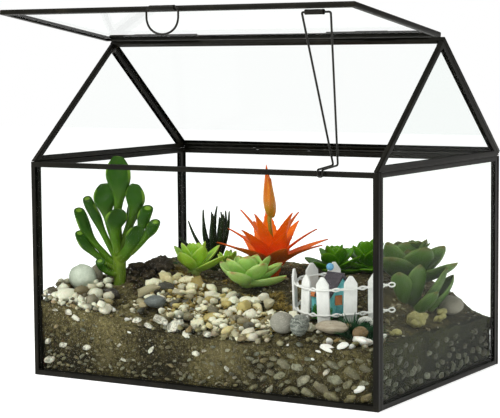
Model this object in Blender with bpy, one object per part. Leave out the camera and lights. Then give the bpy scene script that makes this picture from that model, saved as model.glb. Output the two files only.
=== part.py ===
"""House-shaped glass terrarium with a hinged roof pane, planted with succulents.

Sizes are in millimetres and are scaled to metres when a mesh is made. X runs along the
ridge, the hinged roof pane opens on the -Y side, and the box stands on Z = 0.
"""
import math
import random

import bmesh
import bpy
from mathutils import Matrix, Vector, noise

MM = 0.001
GOLDEN_ANGLE = math.radians(137.508)

# Box
WIDTH = 250.0
DEPTH = 179.0
WALL_HEIGHT = 139.0
RIDGE_HEIGHT = 214.5
JOINT_GAP = 0.3

# Metal channel round each pane, and the glass in it
CAME_FACE = 3.3
CAME_THICK = 3.2
CAME_WEB = 1.0
CAME_GROOVE = 2.5
CAME_CHAMFER = 0.4
GLASS_THICK = 2.0
GLASS_EDGE_GAP = 0.3

# Hinge along the ridge
HINGE_RISE = 4.8
HINGE_TUBE_RADIUS = 1.6
HINGE_BORE_RADIUS = 1.0
HINGE_PIN_RADIUS = 0.7
HINGE_LEAF_THICK = 0.8
HINGE_LEAF_REACH = 6.0
HINGE_ZONES = ((-124.0, -54.0), (44.0, 113.0))
HINGE_TUBE_GAP = 0.6
LID_TOP_SETBACK = 3.3
LID_FRONT_INSET = 1.0
LID_OPEN_ANGLE = 8.2

# Wire parts on the lid
WIRE_RADIUS = 0.65
SLEEVE_RADIUS = 1.6
SLEEVE_BORE = 1.0
RING_X = -1.5
RING_SLEEVE_LENGTH = 17.5
RING_WIDTH = 22.5
RING_DROP = 15.5
PROP_LEFT_X = 89.8
PROP_RIGHT_X = 108.6
PROP_SLEEVE_LENGTH = 12.0
PROP_SLEEVE_OFFSET = 2.4
PROP_KNEE_X = 88.5
PROP_KNEE_SPREAD = 3.0
PROP_KNEE_INSET = 17.5
PROP_FOOT_RISE = 1.3
PROP_HOOK_REACH = 2.0
PROP_HOOK_DROP = 3.2
PROP_BENDS = (1.1, 1.2, 1.0)

# Soil surface: heights of its edge along the front glass, from left to right
SOIL_FRONT = ((-122.0, 48.0), (-98.0, 44.5), (-74.0, 40.0), (-36.0, 34.5), (1.0, 33.0),
              (37.0, 31.0), (71.0, 32.0), (111.0, 37.0), (122.0, 38.0))
SOIL_RIGHT_FRONT = 38.0
SOIL_RIGHT_BACK = 31.0
SOIL_PLATEAU = 57.0
SOIL_BACK_RISE = 3.0
SOIL_BANK = 84.0
SOIL_BANK_LEFT = 56.0
SOIL_BANK_RIGHT = 66.0
SOIL_MOUND = (-74.0, -26.0, 9.0, 19.0)
SOIL_TERRACE = (72.0, -43.0, 44.6)
SOIL_TERRACE_SLOPE = 0.12
SOIL_TERRACE_FLAT = 24.0
SOIL_TERRACE_EDGE = 18.0
SOIL_CELLS_X = 18
SOIL_CELLS_Y = 13
SOIL_ROUGHNESS = 1.2
SOCKET_DEPTH = 10.0
SOCKET_GAP = 0.3
SOCKET_SIDES = 12

# Plants: where each stem stands
ROOT_CLEARANCE = 1.0
JADE_PLACE = (-87.5, -45.0)
ALOE_PLACE = (-62.0, 34.0)
BROMELIAD_PLACE = (-12.0, 26.0)
LIME_PLACE = (-52.0, -9.0)
LIME_OFFSET_PLACE = (-41.0, 17.0)
ECHEVERIA_PLACE = (-5.0, -17.0)
DARK_LEFT_PLACE = (23.0, 50.0)
DARK_RIGHT_PLACE = (40.0, 66.0)
GREY_PLACE = (80.0, 43.0)

# Stones: place, half sizes, turn and colour
STONES = {
    "boulder_white": ((-105.0, -62.0), (9.0, 7.5, 8.5), 0.3, (0.62, 0.64, 0.58)),
    "rock_dark": ((-66.0, -27.0), (8.5, 6.5, 5.5), 0.5, (0.07, 0.06, 0.045)),
    "stone_slate": ((-48.0, -62.0), (7.5, 5.5, 4.2), 0.4, (0.16, 0.17, 0.17)),
    "stone_grey": ((51.5, -72.0), (8.2, 6.0, 7.0), 0.2, (0.33, 0.32, 0.27)),
    "stone_green": ((66.0, -77.0), (6.6, 5.0, 7.0), 1.1, (0.13, 0.14, 0.12)),
    "stone_beige": ((85.0, -70.5), (11.5, 4.8, 4.2), 0.05, (0.48, 0.42, 0.33)),
    "stone_brown": ((102.5, -68.0), (5.0, 4.2, 4.0), 0.6, (0.29, 0.20, 0.11)),
    "stone_right": ((111.0, 44.0), (8.5, 8.0, 6.5), 0.9, (0.30, 0.27, 0.21)),
    "stone_ochre": ((112.0, -12.0), (6.5, 5.0, 4.5), 0.2, (0.45, 0.40, 0.26)),
}
STONES_ON_GRAVEL = ("stone_slate",)
STONE_GAP = 0.4

# Gravel: a thin bed over the soil, and pebbles sunk in it
GRAVEL_LOW = 0.4
GRAVEL_HIGH = 1.6

# Fence: where each picket stands, and where its wires end
FENCE_PICKETS = ((62.0, -24.5), (51.0, -32.0), (45.5, -45.0), (58.0, -55.5), (73.0, -58.5), (87.0, -51.5),
                 (98.5, -41.0))
FENCE_END = (105.5, -36.0)
PICKET_WIDTH = 9.6
PICKET_THICK = 1.6
PICKET_HEIGHT = 28.5
PICKET_POINT = 4.5
FENCE_WIRE_RADIUS = 0.55
FENCE_WIRE_HEIGHTS = (5.0, 20.5)
FENCE_WIRE_SWING = 1.15
FENCE_WIRE_SIDES = 3

# Cottage: its gable end looks to the right
HOUSE_CENTRE = (71.5, -40.5)
HOUSE_TURN = 1.2
HOUSE_SIZE = (17.0, 12.5, 14.0)
HOUSE_WING = (8.0, 11.0, 11.0)
HOUSE_ROOF_RISE = 10.0
HOUSE_ROOF_THICK = 1.6
HOUSE_EAVE = 1.8
HOUSE_COURSES = 4
HOUSE_RIDGE_CAP = 1.2
HOUSE_PANEL_THICK = 0.9
HOUSE_BALL_RADIUS = 2.4
HEDGE_BUSHES = (-4.0, 4.5)
SHELTER_PLACE = (98.5, -53.5)
SHELTER_RADIUS = 6.0
SHELTER_DOOR_RADIUS = 3.2
SHELTER_DEPTH = 4.0

INNER_X = WIDTH / 2 - CAME_THICK
INNER_Y = DEPTH / 2 - CAME_THICK
SOIL_X = INNER_X - JOINT_GAP
SOIL_Y = INNER_Y - JOINT_GAP
SOIL_FLOOR = CAME_THICK + JOINT_GAP

SLOPE = math.atan2(RIDGE_HEIGHT - WALL_HEIGHT, DEPTH / 2)
HINGE_Z = RIDGE_HEIGHT + HINGE_RISE
AXIS_OVER_SLOPE = HINGE_RISE * math.cos(SLOPE)
LID_TOP = JOINT_GAP + CAME_THICK - AXIS_OVER_SLOPE
LID_MIDDLE = JOINT_GAP + CAME_THICK / 2 - AXIS_OVER_SLOPE
LID_UNDERSIDE = JOINT_GAP - AXIS_OVER_SLOPE
LID_LENGTH = (DEPTH / 2 - LID_FRONT_INSET - LID_UNDERSIDE * math.sin(SLOPE)) / math.cos(SLOPE)


def clear_scene():
    for item in list(bpy.context.scene.objects):
        bpy.data.objects.remove(item, do_unlink=True)


def smoothstep(value):
    value = min(max(value, 0.0), 1.0)
    return value * value * (3 - 2 * value)


def interpolate(stops, value):
    """Height on a line through the stops, held level past both ends."""
    if value <= stops[0][0]:
        return stops[0][1]
    for (x0, y0), (x1, y1) in zip(stops, stops[1:]):
        if value <= x1:
            return y0 + (y1 - y0) * (value - x0) / (x1 - x0)
    return stops[-1][1]


def make_material(name, color, roughness, metallic=0.0, alpha=1.0):
    found = bpy.data.materials.get(name)
    if found:
        return found
    material = bpy.data.materials.new(name)
    material.use_nodes = True
    shader = material.node_tree.nodes["Principled BSDF"]
    shader.inputs["Base Color"].default_value = (*color, 1.0)
    shader.inputs["Roughness"].default_value = roughness
    shader.inputs["Metallic"].default_value = metallic
    shader.inputs["Alpha"].default_value = alpha
    material.diffuse_color = (*color, alpha)
    return material


def black_metal():
    return make_material("black_metal", (0.018, 0.018, 0.014), 0.38, 0.9)


def clear_glass():
    return make_material("clear_glass", (0.93, 0.97, 0.95), 0.03, 0.0, 0.2)


def add_object(name, verts, faces, material, smooth=False):
    """A mesh object from points in millimetres, with its faces turned outwards."""
    mesh = bpy.data.meshes.new(name)
    mesh.from_pydata([Vector(v) * MM for v in verts], [], faces)
    work = bmesh.new()
    work.from_mesh(mesh)
    bmesh.ops.recalc_face_normals(work, faces=work.faces)
    work.to_mesh(mesh)
    work.free()
    if smooth:
        mesh.shade_smooth()
        mesh.set_sharp_from_angle(angle=math.radians(40))
    obj = bpy.data.objects.new(name, mesh)
    mesh.materials.append(material)
    bpy.context.scene.collection.objects.link(obj)
    return obj


def box_shell(low, high):
    x0, y0, z0 = low
    x1, y1, z1 = high
    verts = [(x0, y0, z0), (x1, y0, z0), (x1, y1, z0), (x0, y1, z0),
             (x0, y0, z1), (x1, y0, z1), (x1, y1, z1), (x0, y1, z1)]
    faces = [(0, 3, 2, 1), (4, 5, 6, 7), (0, 1, 5, 4), (1, 2, 6, 5), (2, 3, 7, 6), (3, 0, 4, 7)]
    return verts, faces


def tube_shell(rings):
    """Closed skin over rings of points. A ring of one point closes that end to a tip."""
    verts = []
    starts = []
    for ring in rings:
        starts.append(len(verts))
        verts += [tuple(point) for point in ring]
    faces = []
    for level in range(len(rings) - 1):
        here, there = starts[level], starts[level + 1]
        count = max(len(rings[level]), len(rings[level + 1]))
        for i in range(count):
            j = (i + 1) % count
            if len(rings[level]) == 1:
                faces.append((here, there + j, there + i))
            elif len(rings[level + 1]) == 1:
                faces.append((here + i, here + j, there))
            else:
                faces.append((here + i, here + j, there + j))
                faces.append((here + i, there + j, there + i))
    if len(rings[0]) > 1:
        faces.append(tuple(reversed(range(len(rings[0])))))
    if len(rings[-1]) > 1:
        faces.append(tuple(range(starts[-1], len(verts))))
    return verts, faces


def moved(shell, matrix):
    verts, faces = shell
    return [tuple(matrix @ Vector(v)) for v in verts], faces


def fuse(name, shells, material):
    """One body from overlapping closed shells."""
    target = add_object(name, *shells[0], material)
    extras = bpy.data.collections.new(name + "_extras")
    bpy.context.scene.collection.children.link(extras)
    for i, shell in enumerate(shells[1:]):
        extra = add_object(f"{name}_extra_{i}", *shell, material)
        bpy.context.scene.collection.objects.unlink(extra)
        extras.objects.link(extra)
    union = target.modifiers.new("union", "BOOLEAN")
    union.operation = "UNION"
    union.operand_type = "COLLECTION"
    union.collection = extras
    union.solver = "MANIFOLD"
    apply_modifiers(target)
    for extra in list(extras.objects):
        bpy.data.objects.remove(extra, do_unlink=True)
    bpy.data.collections.remove(extras)
    return target


def apply_modifiers(obj):
    depsgraph = bpy.context.evaluated_depsgraph_get()
    result = bpy.data.meshes.new_from_object(obj.evaluated_get(depsgraph))
    obj.modifiers.clear()
    obj.data = result


def hang_on(pivot, *objects):
    """Parents objects to an empty without moving them."""
    for obj in objects:
        obj.parent = pivot
        obj.matrix_parent_inverse = Matrix.Translation(-pivot.location)


def make_pivot(name, point):
    pivot = bpy.data.objects.new(name, None)
    pivot.empty_display_size = 0.01
    pivot.location = Vector(point) * MM
    bpy.context.scene.collection.objects.link(pivot)
    return pivot


# Panes and their metal channels

def inset_outline(outline, distance):
    """Each corner of a counter-clockwise outline moved in, with mitred corners."""
    result = []
    count = len(outline)
    for i in range(count):
        before = Vector(outline[i - 1])
        corner = Vector(outline[i])
        after = Vector(outline[(i + 1) % count])
        side_in = (corner - before).normalized()
        side_out = (after - corner).normalized()
        normal_in = Vector((-side_in.y, side_in.x))
        normal_out = Vector((-side_out.y, side_out.x))
        mitre = normal_in + normal_out
        result.append(corner + mitre * (distance / mitre.dot(normal_in)))
    return result


def came_section():
    """Points of the channel: distance in from the pane's edge, and height over its middle."""
    half = CAME_THICK / 2
    groove = CAME_GROOVE / 2
    return ((CAME_CHAMFER, -half), (CAME_FACE, -half), (CAME_FACE, -groove), (CAME_WEB, -groove),
            (CAME_WEB, groove), (CAME_FACE, groove), (CAME_FACE, half), (CAME_CHAMFER, half),
            (0.0, half - CAME_CHAMFER), (0.0, CAME_CHAMFER - half))


def base_section():
    """The same for the base: a lip over the pane only, so that the pane is flush underneath."""
    half = CAME_THICK / 2
    lip = GLASS_THICK + JOINT_GAP - half
    return ((0.0, -half), (CAME_WEB, -half), (CAME_WEB, lip), (CAME_FACE, lip), (CAME_FACE, half),
            (CAME_CHAMFER, half), (0.0, half - CAME_CHAMFER))


def pane_matrix(origin, along, up):
    """Frame whose X and Y lie in the pane and whose Z is its normal."""
    across = Vector(along).normalized()
    rise = Vector(up).normalized()
    normal = across.cross(rise)
    matrix = Matrix((across, rise, normal)).transposed().to_4x4()
    matrix.translation = Vector(origin)
    return matrix


def make_frame(name, outline, matrix, section):
    loops = [[matrix @ Vector((p.x, p.y, height)) for p in inset_outline(outline, depth)]
             for depth, height in section]
    count = len(outline)
    verts = [point for loop in loops for point in loop]
    faces = []
    for i in range(len(loops)):
        here = i * count
        there = (i + 1) % len(loops) * count
        for j in range(count):
            k = (j + 1) % count
            faces.append((here + j, here + k, there + k, there + j))
    return add_object(name, verts, faces, black_metal())


def make_pane(name, outline, matrix):
    inner = inset_outline(outline, CAME_WEB + GLASS_EDGE_GAP)
    rings = [[matrix @ Vector((p.x, p.y, side * GLASS_THICK / 2)) for p in inner]
             for side in (-1, 1)]
    return add_object(name, *tube_shell(rings), clear_glass())


def glazed_panel(name, outline, matrix):
    frame = make_frame(f"frame_{name}", outline, matrix, came_section())
    return frame, make_pane(f"glass_{name}", outline, matrix)


def rectangle(u0, v0, u1, v1):
    return ((u0, v0), (u1, v0), (u1, v1), (u0, v1))


def lid_matrix(angle):
    """Lid frame for a pane that rises by this angle from the hinge to its free edge."""
    rad = math.radians(angle)
    down_the_lid = Vector((0, -math.cos(rad), math.sin(rad)))
    return pane_matrix((0, 0, HINGE_Z), (1, 0, 0), -down_the_lid)


def make_box():
    half_w = WIDTH / 2
    half_d = DEPTH / 2
    middle = CAME_THICK / 2
    side_half = half_d - CAME_THICK - JOINT_GAP
    wall = rectangle(-half_w, 0, half_w, WALL_HEIGHT)
    side = rectangle(-side_half, 0, side_half, WALL_HEIGHT)
    glazed_panel("front", wall, pane_matrix((0, -half_d + middle, 0), (1, 0, 0), (0, 0, 1)))
    glazed_panel("back", wall, pane_matrix((0, half_d - middle, 0), (-1, 0, 0), (0, 0, 1)))
    base = rectangle(-half_w + CAME_THICK + JOINT_GAP, -side_half,
                     half_w - CAME_THICK - JOINT_GAP, side_half)
    make_frame("frame_base", base, pane_matrix((0, 0, middle), (1, 0, 0), (0, 1, 0)), base_section())
    make_pane("glass_base", base, pane_matrix((0, 0, GLASS_THICK / 2), (1, 0, 0), (0, 1, 0)))
    gable = ((-half_d, WALL_HEIGHT + JOINT_GAP), (half_d, WALL_HEIGHT + JOINT_GAP), (0, RIDGE_HEIGHT))
    for name, sign in (("left", -1), ("right", 1)):
        matrix = pane_matrix((sign * (half_w - middle), 0, 0), (0, sign, 0), (0, 0, 1))
        glazed_panel(name, side, matrix)
        glazed_panel(f"gable_{name}", gable, matrix)
    slope = pane_matrix((0, 0, HINGE_Z), (-1, 0, 0),
                        (0, -math.cos(SLOPE), math.sin(SLOPE)))
    roof = rectangle(-half_w, -LID_LENGTH, half_w, -LID_TOP_SETBACK)
    glazed_panel("roof_back", roof, slope @ Matrix.Translation((0, 0, LID_MIDDLE)))


def hinge_leaf_tube(name, x0, x1, matrix):
    """Tube on the hinge line with a flat leaf that lies on the top of the metal channel."""
    sides = 10
    leaf_low = LID_TOP + JOINT_GAP
    leaf_high = leaf_low + HINGE_LEAF_THICK
    start = math.asin(leaf_low / HINGE_TUBE_RADIUS)
    stop = math.asin(leaf_high / HINGE_TUBE_RADIUS)
    # The leaf leaves the tube on the side that points down the slope
    outline = [(-HINGE_LEAF_REACH, leaf_high)]
    for i in range(sides):
        turn = math.pi - stop - (2 * math.pi - stop + start) * i / (sides - 1)
        outline.append((HINGE_TUBE_RADIUS * math.cos(turn), HINGE_TUBE_RADIUS * math.sin(turn)))
    outline.append((-HINGE_LEAF_REACH, leaf_low))
    bore = [(HINGE_BORE_RADIUS * math.cos(a), HINGE_BORE_RADIUS * math.sin(a))
            for a in (2 * math.pi * i / sides for i in range(sides))]
    work = bmesh.new()
    loops = []
    for points in (outline, bore):
        loop = [work.verts.new(matrix @ Vector((x0, v, w)) * MM) for v, w in points]
        loops.append([work.edges.new((loop[i], loop[(i + 1) % len(loop)])) for i in range(len(loop))])
    bmesh.ops.triangle_fill(work, use_beauty=True, use_dissolve=False, edges=loops[0] + loops[1])
    step = (matrix.to_3x3() @ Vector((x1 - x0, 0, 0))) * MM
    grown = bmesh.ops.extrude_face_region(work, geom=work.faces[:])
    new_verts = [item for item in grown["geom"] if isinstance(item, bmesh.types.BMVert)]
    bmesh.ops.translate(work, verts=new_verts, vec=step)
    bmesh.ops.recalc_face_normals(work, faces=work.faces)
    mesh = bpy.data.meshes.new(name)
    work.to_mesh(mesh)
    work.free()
    mesh.materials.append(black_metal())
    obj = bpy.data.objects.new(name, mesh)
    bpy.context.scene.collection.objects.link(obj)
    return obj


def straight_sleeve(name, x0, x1, centre_y, centre_z, outer, bore):
    """Plain tube along X."""
    sides = 12
    rings = []
    for x, radius in ((x0, outer), (x1, outer), (x1, bore), (x0, bore)):
        rings.append([(x, centre_y + radius * math.cos(a), centre_z + radius * math.sin(a))
                      for a in (2 * math.pi * i / sides for i in range(sides))])
    verts = [point for ring in rings for point in ring]
    faces = []
    for i in range(4):
        for j in range(sides):
            k = (j + 1) % sides
            here = i * sides
            there = (i + 1) % 4 * sides
            faces.append((here + j, here + k, there + k, there + j))
    return add_object(name, verts, faces, black_metal(), smooth=True)


def make_wire(name, points):
    """Closed loop of round wire along points in millimetres."""
    curve = bpy.data.curves.new(name, "CURVE")
    curve.dimensions = "3D"
    curve.bevel_depth = WIRE_RADIUS * MM
    curve.bevel_resolution = 1
    spline = curve.splines.new("POLY")
    spline.points.add(len(points) - 1)
    for knot, point in zip(spline.points, points):
        knot.co = (*(Vector(point) * MM), 1.0)
    spline.use_cyclic_u = True
    curve.materials.append(black_metal())
    obj = bpy.data.objects.new(name, curve)
    bpy.context.scene.collection.objects.link(obj)
    return obj


def rounded_path(corners, radii, steps=4):
    """Points along straight runs joined by arcs at the inner corners."""
    points = [Vector(corners[0])]
    for before, corner, after, radius in zip(corners, corners[1:], corners[2:], radii):
        corner = Vector(corner)
        back = (Vector(before) - corner).normalized()
        on = (Vector(after) - corner).normalized()
        half = back.angle(on) / 2
        reach = radius / math.tan(half)
        centre = corner + (back + on).normalized() * (radius / math.sin(half))
        start = corner + back * reach - centre
        end = corner + on * reach - centre
        for i in range(steps + 1):
            points.append(centre + start.slerp(end, i / steps))
    points.append(Vector(corners[-1]))
    return points


def make_hinge(lid_pose, lid_parts):
    slope_back = Matrix.Rotation(math.pi, 4, "Z") @ lid_pose_closed()
    back = Matrix.Translation((0, 0, HINGE_Z)) @ slope_back
    for zone, (x0, x1) in zip(("left", "right"), HINGE_ZONES):
        length = (x1 - x0 - 2 * HINGE_TUBE_GAP) / 3
        first = x0 + length + HINGE_TUBE_GAP
        second = first + length + HINGE_TUBE_GAP
        hinge_leaf_tube(f"hinge_tube_{zone}_outer", -x0 - length, -x0, back)
        hinge_leaf_tube(f"hinge_tube_{zone}_inner", -x1, -second, back)
        lid_parts.append(hinge_leaf_tube(f"hinge_tube_{zone}_lid", first, first + length, lid_pose))
        pin = [[(x, HINGE_PIN_RADIUS * math.cos(a), HINGE_Z + HINGE_PIN_RADIUS * math.sin(a))
                for a in (2 * math.pi * i / 10 for i in range(10))] for x in (x0, x1)]
        add_object(f"hinge_pin_{zone}", *tube_shell(pin), black_metal(), smooth=True)


def lid_pose_closed():
    """Turn of the closed lid about the hinge line, with its own +Y up the slope."""
    return Matrix.Rotation(SLOPE, 4, "X")


def make_lid():
    lid_pose = lid_matrix(LID_OPEN_ANGLE)
    outline = rectangle(-WIDTH / 2, -LID_LENGTH, WIDTH / 2, -LID_TOP_SETBACK)
    lid_parts = list(glazed_panel("lid", outline, lid_pose @ Matrix.Translation((0, 0, LID_MIDDLE))))
    make_hinge(lid_pose, lid_parts)

    ring_axis = lid_pose @ Vector((0, -LID_LENGTH - JOINT_GAP - SLEEVE_RADIUS, LID_MIDDLE))
    lid_parts.append(straight_sleeve("sleeve_ring", RING_X - RING_SLEEVE_LENGTH / 2,
                                     RING_X + RING_SLEEVE_LENGTH / 2, ring_axis.y, ring_axis.z,
                                     SLEEVE_RADIUS, SLEEVE_BORE))
    prop_axis = lid_pose @ Vector((0, -LID_LENGTH + CAME_FACE,
                                   LID_UNDERSIDE - JOINT_GAP - SLEEVE_RADIUS))
    sleeve_start = PROP_LEFT_X + PROP_SLEEVE_OFFSET
    lid_parts.append(straight_sleeve("sleeve_prop", sleeve_start, sleeve_start + PROP_SLEEVE_LENGTH,
                                     prop_axis.y, prop_axis.z, SLEEVE_RADIUS, SLEEVE_BORE))
    lid_pivot = make_pivot("lid_pivot", (0, 0, HINGE_Z))
    hang_on(lid_pivot, *lid_parts)
    make_ring(ring_axis)
    make_prop(prop_axis)


def make_ring(axis):
    """D-shaped pull that hangs from its sleeve."""
    half = RING_WIDTH / 2
    points = []
    corner = 2.0
    for sign in (-1, 1):
        for i in range(4):
            turn = math.pi / 2 * i / 3
            x = sign * (half - corner + corner * (math.sin(turn) if sign > 0 else math.cos(turn)))
            z = -corner + corner * (math.cos(turn) if sign > 0 else math.sin(turn))
            points.append((RING_X + x, axis.y, axis.z + z))
    bow = 12
    drop = RING_DROP - 2 * corner
    for i in range(1, bow):
        turn = math.pi * i / bow
        points.append((RING_X + half * math.cos(turn), axis.y,
                       axis.z - 2 * corner - drop * math.sin(turn) ** 0.8))
    ring = make_wire("ring", points)
    hang_on(make_pivot("ring_pivot", (RING_X, axis.y, axis.z)), ring)


def make_prop(axis):
    """One wire: a bar in the sleeve, two legs that draw together, and a hook over the rail."""
    foot_z = WALL_HEIGHT + JOINT_GAP + WIRE_RADIUS
    knee_y = -DEPTH / 2 + PROP_KNEE_INSET
    tip_y = -DEPTH / 2 - PROP_HOOK_REACH
    left = PROP_KNEE_X - PROP_KNEE_SPREAD / 2
    right = PROP_KNEE_X + PROP_KNEE_SPREAD / 2
    drop_z = foot_z - PROP_HOOK_DROP
    # The tip's bend crosses from one wire to the other in front of the rail
    bend = 4
    tip = []
    for i in range(bend + 1):
        turn = math.pi * i / bend
        tip.append((PROP_KNEE_X - PROP_KNEE_SPREAD / 2 * math.cos(turn), tip_y,
                    drop_z - PROP_KNEE_SPREAD / 2 * math.sin(turn) * 0.6))
    left_leg = rounded_path([((PROP_LEFT_X + PROP_RIGHT_X) / 2, axis.y, axis.z),
                             (PROP_LEFT_X, axis.y, axis.z),
                             (left, knee_y, foot_z + PROP_FOOT_RISE),
                             (left, tip_y, foot_z), (left, tip_y, drop_z)], PROP_BENDS)
    right_leg = rounded_path([((PROP_LEFT_X + PROP_RIGHT_X) / 2, axis.y, axis.z),
                              (PROP_RIGHT_X, axis.y, axis.z),
                              (right, knee_y, foot_z + PROP_FOOT_RISE),
                              (right, tip_y, foot_z), (right, tip_y, drop_z)], PROP_BENDS)
    points = left_leg[1:-1] + [Vector(p) for p in tip] + right_leg[1:-1][::-1]
    prop = make_wire("prop", points)
    hang_on(make_pivot("prop_pivot", (PROP_KNEE_X, axis.y, axis.z)), prop)


# Soil

def soil_surface(x, y):
    """Smooth height of the planting bed: banks at the front and right, a mound at the left."""
    left = smoothstep((-60 - x) / 40)
    front = interpolate(SOIL_FRONT, x)
    right = SOIL_RIGHT_FRONT + (SOIL_RIGHT_BACK - SOIL_RIGHT_FRONT) * (y + SOIL_Y) / (2 * SOIL_Y)
    plateau = SOIL_PLATEAU + SOIL_BACK_RISE * smoothstep((y + 20) / 100)
    bank = SOIL_BANK + (SOIL_BANK_LEFT - SOIL_BANK) * left
    from_front = (plateau - front) * (1 - smoothstep((y + SOIL_Y + 6) / bank))
    from_right = (plateau - right) * (1 - smoothstep((SOIL_X + 4 - x) / SOIL_BANK_RIGHT))
    height = plateau - (from_front ** 3 + from_right ** 3) ** (1 / 3)
    mound_x, mound_y, rise, spread = SOIL_MOUND
    distance = ((x - mound_x) ** 2 + (y - mound_y) ** 2) / (2 * spread ** 2)
    bump = noise.noise(Vector((x * 0.07, y * 0.07, 3.0)))
    height += rise * math.exp(-distance) + SOIL_ROUGHNESS * bump
    # The cottage and its fence stand on a nearly level patch
    terrace_x, terrace_y, level = SOIL_TERRACE
    away = math.hypot(x - terrace_x, y - terrace_y)
    keep = smoothstep((away - SOIL_TERRACE_FLAT) / SOIL_TERRACE_EDGE)
    terrace = level + SOIL_TERRACE_SLOPE * (y - terrace_y)
    return terrace + (height - terrace) * keep


def soil_knot(i, j):
    x = -SOIL_X + 2 * SOIL_X * i / SOIL_CELLS_X
    y = -SOIL_Y + 2 * SOIL_Y * j / SOIL_CELLS_Y
    return Vector((x, y, soil_surface(x, y)))


def ground(x, y):
    """Height of the faceted soil at a point."""
    u = min(max((x + SOIL_X) / (2 * SOIL_X) * SOIL_CELLS_X, 0.0), SOIL_CELLS_X - 1e-6)
    v = min(max((y + SOIL_Y) / (2 * SOIL_Y) * SOIL_CELLS_Y, 0.0), SOIL_CELLS_Y - 1e-6)
    i, j = int(u), int(v)
    u -= i
    v -= j
    low = soil_knot(i, j).z
    high = soil_knot(i + 1, j + 1).z
    if u >= v:
        side = soil_knot(i + 1, j).z
        return low + (side - low) * u + (high - side) * v
    side = soil_knot(i, j + 1).z
    return low + (side - low) * v + (high - side) * u


def ground_under(x, y, radius):
    """Highest soil within a radius."""
    rings = [(x, y)]
    for reach in (0.5, 1.0):
        for k in range(12):
            turn = 2 * math.pi * k / 12
            rings.append((x + reach * radius * math.cos(turn), y + reach * radius * math.sin(turn)))
    return max(ground(*point) for point in rings)


def make_soil(sockets):
    """Bed with a vertical skirt, and a plain blind hole for each stem."""
    columns = SOIL_CELLS_X + 1
    verts = [soil_knot(i, j) for j in range(SOIL_CELLS_Y + 1) for i in range(columns)]
    faces = []
    for j in range(SOIL_CELLS_Y):
        for i in range(SOIL_CELLS_X):
            a = j * columns + i
            b, c, d = a + 1, a + columns + 1, a + columns
            faces += [(a, b, c), (a, c, d)]
    rim = [i for i in range(columns)]
    rim += [j * columns + SOIL_CELLS_X for j in range(1, SOIL_CELLS_Y + 1)]
    rim += [SOIL_CELLS_Y * columns + i for i in range(SOIL_CELLS_X - 1, -1, -1)]
    rim += [j * columns for j in range(SOIL_CELLS_Y - 1, 0, -1)]
    foot = [(-SOIL_X, -SOIL_Y), (SOIL_X, -SOIL_Y), (SOIL_X, SOIL_Y), (-SOIL_X, SOIL_Y)]
    base = len(verts)
    verts += [Vector((x, y, SOIL_FLOOR)) for x, y in foot]
    corners = [0, SOIL_CELLS_X, SOIL_CELLS_X + SOIL_CELLS_Y, 2 * SOIL_CELLS_X + SOIL_CELLS_Y, len(rim)]
    for k in range(4):
        edge = [rim[n % len(rim)] for n in range(corners[k], corners[k + 1] + 1)]
        faces.append(tuple([base + k, base + (k + 1) % 4] + edge[::-1]))
    faces.append(tuple(base + k for k in (3, 2, 1, 0)))
    soil = add_object("soil", verts, faces, make_material("soil", (0.10, 0.075, 0.045), 0.95))
    rings = []
    for x, y, radius, bottom in sockets:
        reach = radius + SOCKET_GAP
        rings.append(tube_shell([[(x + reach * math.cos(a), y + reach * math.sin(a), z)
                                  for a in (2 * math.pi * i / SOCKET_SIDES for i in range(SOCKET_SIDES))]
                                 for z in (bottom - SOCKET_GAP, SOIL_PLATEAU + 40)]))
    cutter_verts = []
    cutter_faces = []
    for ring_verts, ring_faces in rings:
        start = len(cutter_verts)
        cutter_verts += ring_verts
        cutter_faces += [tuple(start + n for n in face) for face in ring_faces]
    cutter = add_object("socket_cutter", cutter_verts, cutter_faces, soil.data.materials[0])
    cutter.hide_render = True
    cutter.display_type = "WIRE"
    cut = soil.modifiers.new("sockets", "BOOLEAN")
    cut.operation = "DIFFERENCE"
    cut.object = cutter
    cut.solver = "EXACT"
    return soil


# Plants

def stem_shell(x, y, radius, top):
    """Round root and stem from the bottom of its socket to the plant's core."""
    sides = 8
    bottom = ground(x, y) - SOCKET_DEPTH + ROOT_CLEARANCE
    rings = [[(x + radius * math.cos(a), y + radius * math.sin(a), z)
              for a in (2 * math.pi * i / sides for i in range(sides))] for z in (bottom, top)]
    return tube_shell(rings)


def leaf_shell(root, azimuth, pitches, length, widths, thicks, steps, sides=6, cup=0.0, teeth=0.0):
    """Leaf on a curved midrib.

    pitches are its climb in degrees at the root and the tip, widths and thicks are given as
    stops from root to tip, cup lifts the edges and teeth narrows every other section.
    """
    heading = Vector((math.cos(azimuth), math.sin(azimuth), 0))
    side = Vector((-heading.y, heading.x, 0))
    point = Vector(root)
    rings = []
    for i in range(steps + 1):
        along = i / steps
        pitch = math.radians(pitches[0] + (pitches[1] - pitches[0]) * along)
        forward = heading * math.cos(pitch) + Vector((0, 0, math.sin(pitch)))
        up = Vector((0, 0, math.cos(pitch))) - heading * math.sin(pitch)
        if i:
            point = point + forward * (length / steps)
        width = interpolate(widths, along) / 2
        thick = interpolate(thicks, along) / 2
        if teeth and i % 2:
            width *= 1 - teeth
        if i == steps:
            rings.append([point + up * cup])
            continue
        ring = []
        for k in range(sides):
            turn = 2 * math.pi * k / sides
            across = math.cos(turn)
            lift = cup * across * across
            ring.append(point + side * (width * across) + up * (thick * math.sin(turn) + lift))
        rings.append(ring)
    return tube_shell(rings)


def core_shell(centre, radius, height, sides=8):
    """Squat dome that the leaves of a rosette grow from."""
    x, y, z = centre
    levels = ((0.0, 0.6), (0.35, 1.0), (0.75, 0.7))
    rings = [[(x + radius * wide * math.cos(a), y + radius * wide * math.sin(a), z + height * up)
              for a in (2 * math.pi * i / sides for i in range(sides))] for up, wide in levels]
    rings.append([(x, y, z + height)])
    return tube_shell(rings)


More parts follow.
